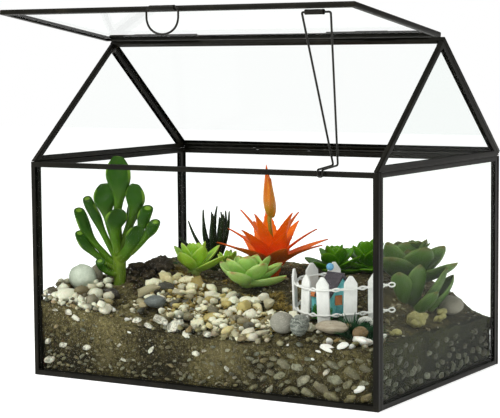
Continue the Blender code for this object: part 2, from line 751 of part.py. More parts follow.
def rosette_shells(centre, count, length, width, thick, pitch, steps, sides, cup, shrink, point=0.0,
                   turn=0.0):
    """Leaves in a spiral, the lowest the longest and flattest."""
    rng = random.Random(1)
    curl = 18
    x, y, z = centre
    shells = []
    for i in range(count):
        inner = i / (count - 1)
        size = (1 - inner) + shrink * inner
        azimuth = turn + i * GOLDEN_ANGLE + rng.uniform(-0.06, 0.06)
        start = pitch[0] + (pitch[1] - pitch[0]) * inner
        reach = length * size * rng.uniform(0.94, 1.04)
        wide = width * (0.55 + 0.45 * size)
        widths = ((0.0, wide * 0.45), (0.35, wide * 0.8), (0.62, wide), (0.82, wide * (0.72 - point)),
                  (1.0, wide * 0.3))
        thicks = ((0.0, thick * 0.9), (0.5, thick), (0.85, thick * 0.6), (1.0, 0.6))
        root = (x, y, z + thick * 0.5 + 2.2 * inner)
        shells.append(leaf_shell(root, azimuth, (start - curl / 2, start + curl), reach, widths, thicks,
                                 steps, sides, cup * size))
    return shells


def seat_on_soil(shells, gap):
    """Lifts shells so that every point clears the soil by the gap, and says how far."""
    lift = max(ground(p[0], p[1]) - p[2] for verts, _ in shells for p in verts) + gap
    shift = Matrix.Translation((0, 0, lift))
    return [moved(shell, shift) for shell in shells], lift


def add_socket(sockets, place, radius):
    """Notes the hole that a stem needs, and says where its bottom is."""
    bottom = ground(*place) - SOCKET_DEPTH + ROOT_CLEARANCE
    sockets.append((*place, radius, bottom))


def plant_rosette(name, place, material, stem_radius, sockets, core, rise=0.0, **shape):
    """Rosette on a short stem that stands in its own hole in the soil."""
    x, y = place
    shells = rosette_shells((x, y, 0.0), **shape)
    shells.append(core_shell((x, y, 0.4), *core))
    shells, lift = seat_on_soil(shells, 0.6 + rise)
    stem = stem_shell(x, y, stem_radius, lift + core[1] * 0.6)
    add_socket(sockets, place, stem_radius)
    ordered = [shells[-1], stem] + shells[:-1]
    return fuse(name, ordered, material)


def bezier(a, b, c, d, t):
    u = 1 - t
    return a * u ** 3 + b * 3 * u * u * t + c * 3 * u * t * t + d * t ** 3


def spoon_shell(root, knee, tip, radius, head):
    """Fleshy leaf that starts as a round tube and opens to a flat head that looks forwards."""
    steps = 6
    sides = 7
    flat = 0.55
    a, d = Vector(root), Vector(tip)
    b = a + (Vector(knee) - a) * 0.66
    c = d + (Vector(knee) - d) * 0.66
    look = Vector((0.5, -0.85, 0.0)).normalized()
    rings = []
    for i in range(steps + 1):
        t = i / steps
        point = bezier(a, b, c, d, t)
        before = bezier(a, b, c, d, max(t - 0.02, 0.0))
        after = bezier(a, b, c, d, min(t + 0.02, 1.0))
        ahead = (after - before).normalized()
        side = ahead.cross(look).normalized()
        up = side.cross(ahead)
        swell = smoothstep((t - 0.45) / 0.4)
        close = math.sqrt(max(0.0, 1 - max(0.0, (t - 0.82) / 0.2) ** 2))
        wide = (radius + (head - radius) * swell) * close
        deep = (radius + (head * flat - radius) * swell) * close
        rings.append([point + side * (wide * math.cos(k)) + up * (deep * math.sin(k))
                      for k in (2 * math.pi * n / sides for n in range(sides))])
    return tube_shell(rings)


def make_jade(sockets):
    """Finger-leaved jade: a short trunk with tube leaves that end in spoons."""
    x, y = JADE_PLACE
    base = ground(x, y)
    green = make_material("jade_leaf", (0.13, 0.30, 0.045), 0.42)
    fork = Vector((x, y, base + 17))
    stem = stem_shell(x, y, 5.0, base + 18)
    # Root height over the fork, then the knee and tip from the fork, tube and head radius
    leaves = (
        ((0, 0, 0), (-4, 2, 30), (1, 0, 66), 3.2, 8.0),
        ((0, 0, 0), (-9, 0, 22), (-9, -3, 46), 2.9, 6.6),
        ((0, 0, 0), (9, 4, 24), (14, 3, 47), 2.8, 6.4),
        ((0, -1, 0), (-1, -6, 14), (4, -7, 30), 3.2, 6.6),
        ((0, 0, -3), (11, -3, 2), (18, -3, 20), 3.8, 5.0),
        ((8, -2, 1), (17, 0, 14), (22, 2, 32), 2.5, 4.2),
        ((9, -2, 1), (20, 1, 10), (28, 3, 23), 2.4, 3.8),
        ((0, 0, -6), (-13, 2, 8), (-21, -2, 37), 2.4, 3.6),
        ((0, 0, -8), (-17, -2, 0), (-29, -4, 29), 2.5, 4.0),
        ((0, -1, -10), (-15, -5, -5), (-27, -6, 14), 2.5, 3.8),
        ((0, -2, -12), (-6, -8, -13), (-9, -12, -3), 2.6, 3.4),
        ((0, 1, 0), (2, 10, 16), (4, 16, 38), 3.0, 5.0),
    )
    shells = [stem]
    for root, knee, tip, radius, head in leaves:
        shells.append(spoon_shell(fork + Vector(root), fork + Vector(knee), fork + Vector(tip), radius, head))
    add_socket(sockets, JADE_PLACE, 5.0)
    return fuse("jade", shells, green)


def make_aloe(sockets):
    """Dark serrated blades in a loose fan."""
    x, y = ALOE_PLACE
    rng = random.Random(7)
    shells = []
    # Azimuth, climb at the root, climb at the tip, length
    blades = ((0, 62, 84, 44), (25, 70, 96, 42), (60, 66, 92, 43), (130, 64, 92, 42),
              (160, 72, 100, 46), (190, 66, 88, 44), (215, 50, 66, 40), (245, 58, 88, 36),
              (285, 64, 92, 40), (320, 58, 88, 43), (205, 34, 40, 36))
    for degrees, low, high, length in blades:
        azimuth = math.radians(degrees + rng.uniform(-6, 6))
        widths = ((0.0, 6.0), (0.3, 5.2), (0.7, 3.4), (1.0, 1.2))
        thicks = ((0.0, 2.6), (0.5, 2.0), (1.0, 0.8))
        shells.append(leaf_shell((x, y, 2.0), azimuth, (low, high), length, widths, thicks, 7, 4, 0.3, 0.3))
    shells.append(core_shell((x, y, 0.4), 5.0, 6.0))
    shells, lift = seat_on_soil(shells, 0.6)
    stem = stem_shell(x, y, 3.0, lift + 4.0)
    add_socket(sockets, ALOE_PLACE, 3.0)
    green = make_material("aloe_leaf", (0.02, 0.05, 0.02), 0.5)
    return fuse("dark_aloe", [shells[-1], stem] + shells[:-1], green)


def make_bromeliad(sockets):
    """Orange star of toothed leaves round a closed flame of bracts."""
    x, y = BROMELIAD_PLACE
    rng = random.Random(3)
    shells = []
    tiers = ((7, 20, 8, 44, 10.6), (6, 36, 22, 42, 10.2), (5, 54, 40, 40, 9.4))
    for tier, (count, low, high, length, wide) in enumerate(tiers):
        for k in range(count):
            azimuth = 2 * math.pi * (k + 0.35 * tier) / count + rng.uniform(-0.1, 0.1)
            reach = length * rng.uniform(0.92, 1.06)
            widths = ((0.0, wide * 0.9), (0.35, wide), (0.8, wide * 0.5), (1.0, 1.2))
            thicks = ((0.0, 2.0), (0.5, 1.5), (1.0, 0.8))
            shells.append(leaf_shell((x, y, 6.0 + 2 * tier), azimuth, (low + 18, high), reach, widths, thicks,
                                     5, 4, 0.8, 0.22))
    shells.append(core_shell((x, y, 2.0), 6.0, 16.0))
    shells, lift = seat_on_soil(shells, 1.2)
    stem = stem_shell(x, y, 3.6, lift + 8.0)
    add_socket(sockets, BROMELIAD_PLACE, 3.6)
    orange = make_material("bromeliad_orange", (0.83, 0.16, 0.015), 0.45)
    fuse("bromeliad", [shells[-1], stem] + shells[:-1], orange)
    return lift


def make_flame(x, y, low, high):
    """Closed spear of overlapping bracts at the centre of the bromeliad."""
    shells = []
    span = high - low
    for k in range(3):
        azimuth = 2 * math.pi * k / 3
        widths = ((0.0, 5.0), (0.45, 8.0), (0.75, 5.6), (1.0, 1.0))
        thicks = ((0.0, 3.0), (0.5, 3.4), (1.0, 0.8))
        root = (x + 1.2 * math.cos(azimuth), y + 1.2 * math.sin(azimuth), low)
        reach = span * (1 - 0.14 * k)
        shells.append(leaf_shell(root, azimuth, (86, 93), reach, widths, thicks, 5, 4, 0.5))
    return fuse("bromeliad_flame", shells, make_material("bromeliad_flame", (0.90, 0.24, 0.03), 0.4))


# Stones, fence and house

def stone_shell(centre, radii, turn, seed):
    """Rounded, slightly uneven stone."""
    work = bmesh.new()
    bmesh.ops.create_icosphere(work, subdivisions=2, radius=1.0)
    spin = Matrix.Rotation(turn, 3, "Z")
    verts = []
    for vert in work.verts:
        bump = 1 + 0.12 * noise.noise(vert.co * 1.3 + Vector((seed * 7.1, 0, 0)))
        point = Vector((vert.co.x * radii[0], vert.co.y * radii[1], vert.co.z * radii[2])) * bump
        verts.append(Vector(centre) + spin @ point)
    faces = [tuple(v.index for v in face.verts) for face in work.faces]
    work.free()
    return verts, faces


def make_stones():
    for seed, (name, ((x, y), radii, turn, color)) in enumerate(STONES.items()):
        shell = stone_shell((x, y, 0), radii, turn, seed)
        under = GRAVEL_HIGH if name in STONES_ON_GRAVEL else 0.0
        shells, _ = seat_on_soil([shell], STONE_GAP + under)
        add_object(name, *shells[0], make_material(name, color, 0.7), smooth=True)


def catmull(points, t):
    """Point on a smooth curve through the points, with t counted in spans."""
    i = min(int(t), len(points) - 2)
    u = t - i
    p0 = points[max(i - 1, 0)]
    p1, p2 = points[i], points[i + 1]
    p3 = points[min(i + 2, len(points) - 1)]
    return 0.5 * ((2 * p1) + (p2 - p0) * u + (2 * p0 - 5 * p1 + 4 * p2 - p3) * u * u
                  + (3 * p1 - p0 - 3 * p2 + p3) * u ** 3)


def swept_shell(points, radius, sides):
    """Wire as a closed shell, for wires that are fused."""
    rings = []
    for i, point in enumerate(points):
        ahead = (points[min(i + 1, len(points) - 1)] - points[max(i - 1, 0)]).normalized()
        side = ahead.cross(Vector((0, 0, 1))).normalized()
        up = side.cross(ahead)
        rings.append([point + side * (radius * math.cos(a)) + up * (radius * math.sin(a))
                      for a in (2 * math.pi * k / sides for k in range(sides))])
    return tube_shell(rings)


def make_fence():
    """Picket fence on two pairs of twisted wires, bent round three sides of the house."""
    feet = [Vector((x, y, ground_under(x, y, PICKET_WIDTH / 2) + 0.4)) for x, y in FENCE_PICKETS]
    route = feet + [Vector((*FENCE_END, feet[-1].z + 1.0))]
    shells = []
    for i, foot in enumerate(feet):
        step = 0.02
        ahead = catmull(route, i + step) - catmull(route, max(i - step, 0))
        ahead.z = 0
        turn = Matrix.Rotation(math.atan2(ahead.y, ahead.x), 4, "Z")
        half, thick = PICKET_WIDTH / 2, PICKET_THICK / 2
        shoulder = PICKET_HEIGHT - PICKET_POINT
        outline = ((-half, 0), (half, 0), (half, shoulder), (half * 0.25, PICKET_HEIGHT),
                   (-half * 0.25, PICKET_HEIGHT), (-half, shoulder))
        rings = [[(x, side * thick, z) for x, z in outline] for side in (-1, 1)]
        shells.append(moved(tube_shell(rings), Matrix.Translation(foot) @ turn))
    steps = 2
    for height in FENCE_WIRE_HEIGHTS:
        for phase in (1, -1):
            points = []
            for n in range((len(route) - 1) * steps + 1):
                t = n / steps
                here = catmull(route, t)
                ahead = catmull(route, min(t + 0.02, len(route) - 1)) - catmull(route, max(t - 0.02, 0))
                side = Vector((-ahead.y, ahead.x, 0)).normalized()
                # Each wire passes a picket on one side and the next one on the other
                points.append(here + side * (phase * FENCE_WIRE_SWING * math.cos(math.pi * t))
                              + Vector((0, 0, height + 0.5 * phase * math.sin(math.pi * t))))
            shells.append(swept_shell(points, FENCE_WIRE_RADIUS, FENCE_WIRE_SIDES))
    return fuse("fence", shells, make_material("fence_white", (0.86, 0.86, 0.84), 0.5))


def make_house():
    """Toy cottage: walls with gables, a shingled roof with a ball on its ridge, and two panels."""
    x, y = HOUSE_CENTRE
    wide, deep, tall = HOUSE_SIZE
    wing_long, wing_wide, wing_tall = HOUSE_WING
    turned = Matrix.Translation((x, y, 0.0)) @ Matrix.Rotation(HOUSE_TURN, 4, "Z")
    half_w, half_d = wide / 2, deep / 2
    top = tall + HOUSE_ROOF_RISE
    outline = ((-half_w, 0), (half_w, 0), (half_w, tall), (0, top), (-half_w, tall))
    walls = tube_shell([[(u, side * half_d, w) for u, w in outline] for side in (-1, 1)])
    wing_end = half_d + wing_long
    wing = box_shell((-half_w + 0.8, half_d - 1.0, 0.0), (-half_w + 0.8 + wing_wide, wing_end, wing_tall))
    seated, base = seat_on_soil([moved(walls, turned), moved(wing, turned)], JOINT_GAP)
    place = Matrix.Translation((0.0, 0.0, base)) @ turned
    fuse("house_walls", seated, make_material("house_turquoise", (0.08, 0.42, 0.43), 0.6))

    pitch = HOUSE_ROOF_RISE / half_w
    lift = JOINT_GAP * math.hypot(1, pitch)
    run = half_w + HOUSE_EAVE
    # Each course of shingles laps over the one below it, which makes a saw-toothed outline
    side = []
    for k in range(HOUSE_COURSES):
        for along, cover in ((k, HOUSE_ROOF_THICK * 0.8), (k + 1, HOUSE_ROOF_THICK * 1.4)):
            out = run * along / HOUSE_COURSES
            side.append((out, top - out * pitch + lift + cover))
    side[0] = (0.0, side[0][1] + HOUSE_RIDGE_CAP)
    outline = [(-u, w) for u, w in side[:0:-1]] + side
    outline += [(run, top - run * pitch + lift), (0.0, top + lift), (-run, top - run * pitch + lift)]
    reach = half_d + HOUSE_EAVE * 0.7
    wing_start = reach + JOINT_GAP
    roof = tube_shell([[(u, end * reach, w) for u, w in outline] for end in (-1, 1)])
    add_object("house_roof", *moved(roof, place), make_material("house_roof", (0.07, 0.05, 0.07), 0.7))

    orange = make_material("house_orange", (0.75, 0.22, 0.05), 0.6)
    gable_face = -half_d - JOINT_GAP
    window = box_shell((-6.5, gable_face - HOUSE_PANEL_THICK, 7.5), (-1.0, gable_face, 13.5))
    add_object("house_window", *moved(window, place), orange)
    wing_roof = box_shell((-half_w - 0.6, wing_start, wing_tall + JOINT_GAP),
                          (-half_w + wing_wide + 2.2, wing_end + 1.2, wing_tall + JOINT_GAP + 2.4))
    add_object("house_wing_roof", *moved(wing_roof, place), orange)

    # The ball rests on the ridge at the end away from the gable window
    ridge = top + lift + HOUSE_ROOF_THICK * 0.8 + HOUSE_RIDGE_CAP
    work = bmesh.new()
    bmesh.ops.create_icosphere(work, subdivisions=1, radius=HOUSE_BALL_RADIUS)
    ball = ([(v.co.x, v.co.y + reach * 0.7, v.co.z + ridge + JOINT_GAP + HOUSE_BALL_RADIUS)
             for v in work.verts], [tuple(v.index for v in face.verts) for face in work.faces])
    work.free()
    blue = make_material("house_ball", (0.20, 0.52, 0.80), 0.5)
    add_object("house_ball", *moved(ball, place), blue, smooth=True)
    make_hedge(turned @ Matrix.Translation((-half_w, 0.0, 0.0)))


def make_shelter():
    """Small white half dome with an arched doorway, beside the fence."""
    x, y = SHELTER_PLACE
    sides = 7
    outer = [(SHELTER_RADIUS * math.cos(math.pi * i / sides), SHELTER_RADIUS * math.sin(math.pi * i / sides))
             for i in range(sides + 1)]
    inner = [(SHELTER_DOOR_RADIUS * math.cos(math.pi * i / sides),
              SHELTER_DOOR_RADIUS * math.sin(math.pi * i / sides)) for i in range(sides + 1)]
    outline = outer + inner[::-1]
    verts = [Vector((u, end * SHELTER_DEPTH / 2, w)) for end in (-1, 1) for u, w in outline]
    count = len(outline)
    faces = []
    for i in range(count):
        k = (i + 1) % count
        faces.append((i, k, count + k, count + i))
    for i in range(sides):
        j = count - 1 - i
        faces.append((i, i + 1, j - 1, j))
        faces.append((count + i, count + j, count + j - 1, count + i + 1))
    place = Matrix.Translation((x, y, 0.0)) @ Matrix.Rotation(0.45, 4, "Z")
    shells, _ = seat_on_soil([moved((verts, faces), place)], JOINT_GAP)
    add_object("shelter", *shells[0], make_material("shelter_white", (0.80, 0.80, 0.76), 0.6))


def make_hedge(place):
    """Two small bushes on one root strip, along the long wall of the cottage."""
    rng = random.Random(12)
    out = -2.6
    shells = [box_shell((out - 0.8, HEDGE_BUSHES[0] - 1.0, 0.0), (out + 0.8, HEDGE_BUSHES[1] + 1.0, 1.0))]
    for along in HEDGE_BUSHES:
        shells.append(core_shell((out, along, 0.0), 1.7, 4.6, sides=6))
        for i in range(5):
            azimuth = i * GOLDEN_ANGLE
            up = i / 4
            root = (out, along, 1.2 + 2.4 * up)
            widths = ((0.0, 0.9), (0.5, 2.2), (1.0, 0.8))
            pitches = (20 + 56 * up, 36 + 46 * up)
            shells.append(leaf_shell(root, azimuth, pitches, rng.uniform(2.4, 3.0), widths,
                                     ((0.0, 0.9), (1.0, 0.6)), 2, 4, 0.3))
    shells, _ = seat_on_soil([moved(shell, place) for shell in shells], JOINT_GAP)
    fuse("hedge", shells, make_material("hedge_green", (0.04, 0.20, 0.05), 0.6))


def gravel_cells(inside):
    """Largest joined patch of soil cells whose middle lies inside a region."""
    wanted = set()
    for j in range(SOIL_CELLS_Y):
        for i in range(SOIL_CELLS_X):
            middle = (soil_knot(i, j) + soil_knot(i + 1, j + 1)) / 2
            if inside(middle.x, middle.y):
                wanted.add((i, j))
    best = []
    while wanted:
        patch = []
        queue = [wanted.pop()]
        while queue:
            i, j = queue.pop()
            patch.append((i, j))
            for cell in ((i + 1, j), (i - 1, j), (i, j + 1), (i, j - 1)):
                if cell in wanted:
                    wanted.remove(cell)
                    queue.append(cell)
        best = max(best, patch, key=len)
    return sorted(best)


def gravel_bed(cells, low, high):
    """Thin sheet over soil facets, split the way they are."""
    work = bmesh.new()
    knots = {}
    for i, j in cells:
        for knot in ((i, j), (i + 1, j), (i + 1, j + 1), (i, j + 1)):
            if knot not in knots:
                point = soil_knot(*knot)
                knots[knot] = [work.verts.new(point + Vector((0, 0, rise))) for rise in (low, high)]
    edges = {}
    for i, j in cells:
        a, b, c, d = (i, j), (i + 1, j), (i + 1, j + 1), (i, j + 1)
        for tri in ((a, b, c), (a, c, d)):
            work.faces.new([knots[k][1] for k in tri])
            work.faces.new([knots[k][0] for k in reversed(tri)])
        for start, end in ((a, b), (b, c), (c, d), (d, a)):
            edges[(start, end)] = True
    for start, end in edges:
        if (end, start) not in edges:
            work.faces.new((knots[start][0], knots[end][0], knots[end][1], knots[start][1]))
    work.verts.index_update()
    verts = [v.co.copy() for v in work.verts]
    faces = [tuple(v.index for v in face.verts) for face in work.faces]
    work.free()
    return verts, faces


def pebble_shell(x, y, radius, rng):
    """Half-sunk pebble whose foot stays inside the bed."""
    long_way = rng.uniform(1.0, 1.3)
    turn = rng.uniform(0, math.pi)
    tall = radius * rng.uniform(0.9, 1.3)
    base = ground(x, y)
    rings = []
    for rise, wide in ((0.0, 0.86), (0.45, 1.0)):
        ring = []
        for k in range(5):
            a = 2 * math.pi * k / 5
            u, v = radius * wide * long_way * math.cos(a), radius * wide * math.sin(a)
            px = x + u * math.cos(turn) - v * math.sin(turn)
            py = y + u * math.sin(turn) + v * math.cos(turn)
            foot = ground(px, py) + (GRAVEL_LOW + GRAVEL_HIGH) / 2
            level = max(foot + 1.0, base + GRAVEL_HIGH + rise * tall) if rise else foot
            ring.append((px, py, level))
        rings.append(ring)
    rings.append([(x, y, base + GRAVEL_HIGH + tall)])
    return tube_shell(rings)


def make_gravel(name, cells, count, size, seed, color, keep_out):
    """Pebbles sunk in a thin bed that follows the soil."""
    rng = random.Random(seed)
    bed = gravel_bed(cells, GRAVEL_LOW, GRAVEL_HIGH)
    shells = [bed]
    placed = []
    tries = 0
    while len(placed) < count and tries < 4000:
        tries += 1
        i, j = rng.choice(cells)
        a, c = soil_knot(i, j), soil_knot(i + 1, j + 1)
        x = rng.uniform(a.x, c.x)
        y = rng.uniform(a.y, c.y)
        radius = size * rng.uniform(0.7, 1.25)
        if any((x - px) ** 2 + (y - py) ** 2 < (0.95 * (radius + pr)) ** 2 for px, py, pr in placed):
            continue
        if any((x - kx) ** 2 + (y - ky) ** 2 < (radius * 1.3 + kr) ** 2 for kx, ky, kr in keep_out):
            continue
        if abs(x) > SOIL_X - radius * 1.4 or abs(y) > SOIL_Y - radius * 1.4:
            continue
        placed.append((x, y, radius))
        shells.append(pebble_shell(x, y, radius, rng))
    return fuse(name, shells, make_material(name, color, 0.6))


def make_rosettes(sockets):
    lime = make_material("rosette_lime", (0.33, 0.52, 0.13), 0.45)
    plant_rosette("rosette_lime_large", LIME_PLACE, lime, 2.6, sockets, core=(5.0, 6.0), count=11,
                  length=25.0, width=13.0, thick=2.6, pitch=(20, 72), steps=4, sides=4, cup=1.4,
                  point=0.2, shrink=0.62)
    plant_rosette("rosette_lime_small", LIME_OFFSET_PLACE, lime, 2.0, sockets, core=(3.0, 4.0), rise=5.0,
                  count=9, length=13.5, width=7.0, thick=2.0, pitch=(24, 76), steps=3, sides=4, cup=0.8,
                  point=0.2, shrink=0.62, turn=0.5)
    blue = make_material("echeveria_blue", (0.30, 0.47, 0.27), 0.5)
    plant_rosette("echeveria", ECHEVERIA_PLACE, blue, 3.0, sockets, core=(7.0, 7.0), count=15,
                  length=31.0, width=18.5, thick=3.4, pitch=(8, 72), steps=4, sides=6, cup=2.2,
                  shrink=0.42)
    dark = make_material("rosette_dark", (0.06, 0.15, 0.04), 0.45)
    plant_rosette("rosette_dark_left", DARK_LEFT_PLACE, dark, 2.4, sockets, core=(4.5, 9.0), count=9,
                  length=20.0, width=12.5, thick=2.4, pitch=(30, 78), steps=3, sides=4, cup=1.0,
                  shrink=0.6)
    plant_rosette("rosette_dark_right", DARK_RIGHT_PLACE, dark, 2.4, sockets, core=(4.5, 9.0), count=9,
                  length=19.0, width=12.5, thick=2.4, pitch=(34, 78), steps=3, sides=4, cup=1.0,
                  shrink=0.6, turn=0.8)
    grey = make_material("echeveria_grey", (0.15, 0.24, 0.13), 0.5)
    plant_rosette("echeveria_grey", GREY_PLACE, grey, 3.2, sockets, core=(8.0, 12.0), count=12,
                  length=39.0, width=27.0, thick=3.6, pitch=(20, 76), steps=4, sides=4, cup=3.0,
                  shrink=0.6)


def clear_of(x, y, keep_out, reach):
    return all((x - kx) ** 2 + (y - ky) ** 2 > (kr + reach) ** 2 for kx, ky, kr in keep_out)


def make_gravels():
    """A path of gravel across the front, and a pile in the left corner."""
    stones = {name: (*place, max(radii[:2]) * 0.9) for name, (place, radii, _, _) in STONES.items()}
    keep_out = [circle for name, circle in stones.items() if name not in STONES_ON_GRAVEL]
    keep_out += [(*place, 5.0) for place in FENCE_PICKETS]
    keep_out += [(*JADE_PLACE, 9.0), (*LIME_PLACE, 20.0), (*ECHEVERIA_PLACE, 26.0)]
    bed_reach = 6.0
    path = gravel_cells(lambda x, y: -60 < x < 44 and -80 - 0.25 * x < y < -36 - 0.1 * x
                        and clear_of(x, y, keep_out, bed_reach))
    pile = gravel_cells(lambda x, y: x < -84 and y < -44 and clear_of(x, y, keep_out, bed_reach))
    keep_out += [stones[name] for name in STONES_ON_GRAVEL]
    make_gravel("gravel_front", path, 30, 5.4, 5, (0.72, 0.66, 0.50), keep_out)
    make_gravel("gravel_left", pile, 12, 5.0, 8, (0.60, 0.57, 0.48), keep_out)


def main():
    clear_scene()
    make_box()
    make_lid()
    sockets = []
    make_jade(sockets)
    make_aloe(sockets)
    make_rosettes(sockets)
    lift = make_bromeliad(sockets)
    make_flame(*BROMELIAD_PLACE, lift + 19.0, lift + 70.0)
    make_stones()
    make_fence()
    make_house()
    make_shelter()
    make_gravels()
    make_soil(sockets)


main()
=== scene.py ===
"""Looks for the planted glass terrarium: fine pieces, materials, light and camera."""
import math
import random

import bmesh
import bpy
from mathutils import Matrix, Vector, noise
from mathutils.bvhtree import BVHTree


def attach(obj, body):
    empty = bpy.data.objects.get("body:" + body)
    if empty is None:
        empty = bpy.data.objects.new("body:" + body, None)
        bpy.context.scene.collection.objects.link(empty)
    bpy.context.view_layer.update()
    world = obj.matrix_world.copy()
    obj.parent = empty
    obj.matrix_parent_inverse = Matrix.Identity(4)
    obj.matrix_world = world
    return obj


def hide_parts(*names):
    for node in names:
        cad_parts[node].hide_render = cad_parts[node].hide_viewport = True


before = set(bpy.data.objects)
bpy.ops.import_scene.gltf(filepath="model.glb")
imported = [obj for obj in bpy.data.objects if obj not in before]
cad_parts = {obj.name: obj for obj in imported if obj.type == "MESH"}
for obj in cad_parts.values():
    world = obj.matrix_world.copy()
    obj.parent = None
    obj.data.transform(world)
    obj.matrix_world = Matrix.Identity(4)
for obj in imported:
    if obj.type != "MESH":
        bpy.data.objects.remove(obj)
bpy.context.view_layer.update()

# Lengths are in millimetres until a piece is finished
MM = 0.001
GOLDEN_ANGLE = math.pi * (3 - math.sqrt(5))

WIDTH = 250.0
DEPTH = 179.0
WALL_HEIGHT = 139.0
RIDGE_HEIGHT = 214.5
HINGE_Z = 219.3
LID_OPEN_ANGLE = 8.2
CAME_THICK = 3.2
WIRE_RADIUS = 0.65
# Y and Z of the sleeves that hold the pull and the prop
RING_SEAT = (-119.546, 234.740)
PROP_SEAT = (-114.898, 230.534)
PANES = ("front", "back", "left", "right", "base", "gable_left", "gable_right", "roof_back", "lid")
SOIL_X = 121.5
SOIL_Y = 86.0
SOIL_FLOOR = 3.5
GLASS_INNER_Y = 86.7
GLASS_INNER_X = 122.2
STEM_BURIED = 8.0
ROOM_LIGHT = 0.33


# Modelling helpers

def let_go():
    """Back to object mode with nothing selected."""
    if bpy.context.object and bpy.context.object.mode != "OBJECT":
        bpy.ops.object.mode_set(mode="OBJECT")
    bpy.ops.object.select_all(action="DESELECT")


def take(*objects):
    """Selects these objects alone."""
    let_go()
    for obj in objects:
        obj.select_set(True)
    bpy.context.view_layer.objects.active = objects[0]


def edit(obj, mode="VERT"):
    take(obj)
    bpy.ops.object.mode_set(mode="EDIT")
    bpy.ops.mesh.select_mode(type=mode)
    bpy.ops.mesh.select_all(action="SELECT")


def pick(obj, kind, test):
    """Selects the vertices, edges or faces of the mesh in edit mode that pass a test."""
    work = bmesh.from_edit_mesh(obj.data)
    bpy.ops.mesh.select_all(action="DESELECT")
    for item in getattr(work, kind):
        if test(item):
            item.select_set(True)
    work.select_flush_mode()
    bmesh.update_edit_mesh(obj.data)


def start(primitive, placed=False, **settings):
    """Starts a piece from a primitive, with its place and turn in its mesh where asked."""
    let_go()
    primitive(**settings)
    if placed:
        bpy.ops.object.transform_apply(location=True, rotation=True, scale=True)
    return bpy.context.object


def start_face(sides, radius):
    """Starts a piece from one flat face, left selected in edit mode."""
    face = start(bpy.ops.mesh.primitive_circle_add, vertices=sides, radius=radius, fill_type="NGON",
                 enter_editmode=True)
    bpy.ops.mesh.select_mode(type="FACE")
    bpy.ops.mesh.select_all(action="SELECT")
    return face


def press(obj, kind, **settings):
    """Adds a modifier and applies it."""
    take(obj)
    step = obj.modifiers.new(kind.lower(), kind)
    for key, value in settings.items():
        setattr(step, key, value)
    bpy.ops.object.modifier_apply(modifier=step.name)
    return obj


def rounded(obj, width, segments=2, angle=30):
    return press(obj, "BEVEL", width=width, segments=segments, limit_method="ANGLE",
                 angle_limit=math.radians(angle), use_clamp_overlap=True)


def smoothed(obj, levels):
    return press(obj, "SUBSURF", levels=levels, render_levels=levels)


def extrude(*step):
    """Draws what is selected out by a step."""
    bpy.ops.mesh.extrude_region_move(TRANSFORM_OT_translate={"value": step, "orient_type": "GLOBAL"})


def end_outward():
    """Turns all faces outwards and ends edit mode."""
    bpy.ops.mesh.select_all(action="SELECT")
    bpy.ops.mesh.normals_make_consistent(inside=False)
    let_go()


def outward(obj):
    """Merges doubles and turns the faces outwards."""
    edit(obj)
    bpy.ops.mesh.remove_doubles(threshold=0.001)
    end_outward()
    return obj


def twin(obj, matrix=None):
    """Copy with its own mesh."""
    copy = obj.copy()
    copy.data = obj.data.copy()
    bpy.context.scene.collection.objects.link(copy)
    if matrix is not None:
        copy.data.transform(matrix)
    return copy


def drop(*objects):
    for obj in objects:
        bpy.data.objects.remove(obj, do_unlink=True)


def joined(objects, name):
    """One object from many."""
    take(*objects)
    if len(objects) > 1:
        bpy.ops.object.join()
    obj = bpy.context.object
    obj.name = name
    obj.data.name = name
    return obj


def moved(place):
    return Matrix.Translation(place)


def spun(angle, axis):
    return Matrix.Rotation(angle, 4, axis)


def solid_copy(node, flat=1.0):
    """Copy of a CAD node in millimetres, its loose triangles merged into flat faces."""
    obj = twin(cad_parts[node], Matrix.Scale(1 / MM, 4))
    obj.name = f"work_{node}"
    obj.data.materials.clear()
    take(obj)
    bpy.ops.mesh.customdata_custom_splitnormals_clear()
    outward(obj)
    edit(obj)
    bpy.ops.mesh.dissolve_limited(angle_limit=math.radians(flat))
    let_go()
    return obj


def mark(obj, name, values):
    """Writes one number to each vertex."""
    layer = obj.data.attributes.get(name) or obj.data.attributes.new(name, "FLOAT", "POINT")
    layer.data.foreach_set("value", values)


def tint(obj, **values):
    """Gives every vertex one and the same number under each name."""
    for name, value in values.items():
        mark(obj, name, [value] * len(obj.data.vertices))


def finished(obj, name, material, body, smooth=None, replaces=()):
    """Scales a piece to metres, gives it its material and hangs it on its body."""
    obj.data.transform(Matrix.Scale(MM, 4))
    obj.name = name
    obj.data.name = name
    take(obj)
    if smooth is None:
        bpy.ops.object.shade_smooth()
    elif smooth:
        bpy.ops.object.shade_smooth_by_angle(angle=math.radians(smooth))
    obj.data.materials.clear()
    obj.data.materials.append(material)
    let_go()
    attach(obj, body)
    if replaces:
        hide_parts(*replaces)
    return obj


def smoothstep(value):
    value = min(max(value, 0.0), 1.0)
    return value * value * (3 - 2 * value)


def interpolate(stops, value):
    if value <= stops[0][0]:
        return stops[0][1]
    for (x0, y0), (x1, y1) in zip(stops, stops[1:]):
        if value <= x1:
            return y0 + (y1 - y0) * (value - x0) / (x1 - x0)
    return stops[-1][1]


def middle_of(obj):
    """Mean place of the vertices."""
    return sum((v.co for v in obj.data.vertices), Vector()) / len(obj.data.vertices)


def block(low, high, bevel=0.0):
    """Block from corner to corner with soft edges."""
    obj = start(bpy.ops.mesh.primitive_cube_add, size=1.0)
    edit(obj)
    bpy.ops.transform.resize(value=[h - l for l, h in zip(low, high)])
    bpy.ops.transform.translate(value=[(l + h) / 2 for l, h in zip(low, high)])
    let_go()
    return rounded(obj, bevel, 2) if bevel else obj


# Materials

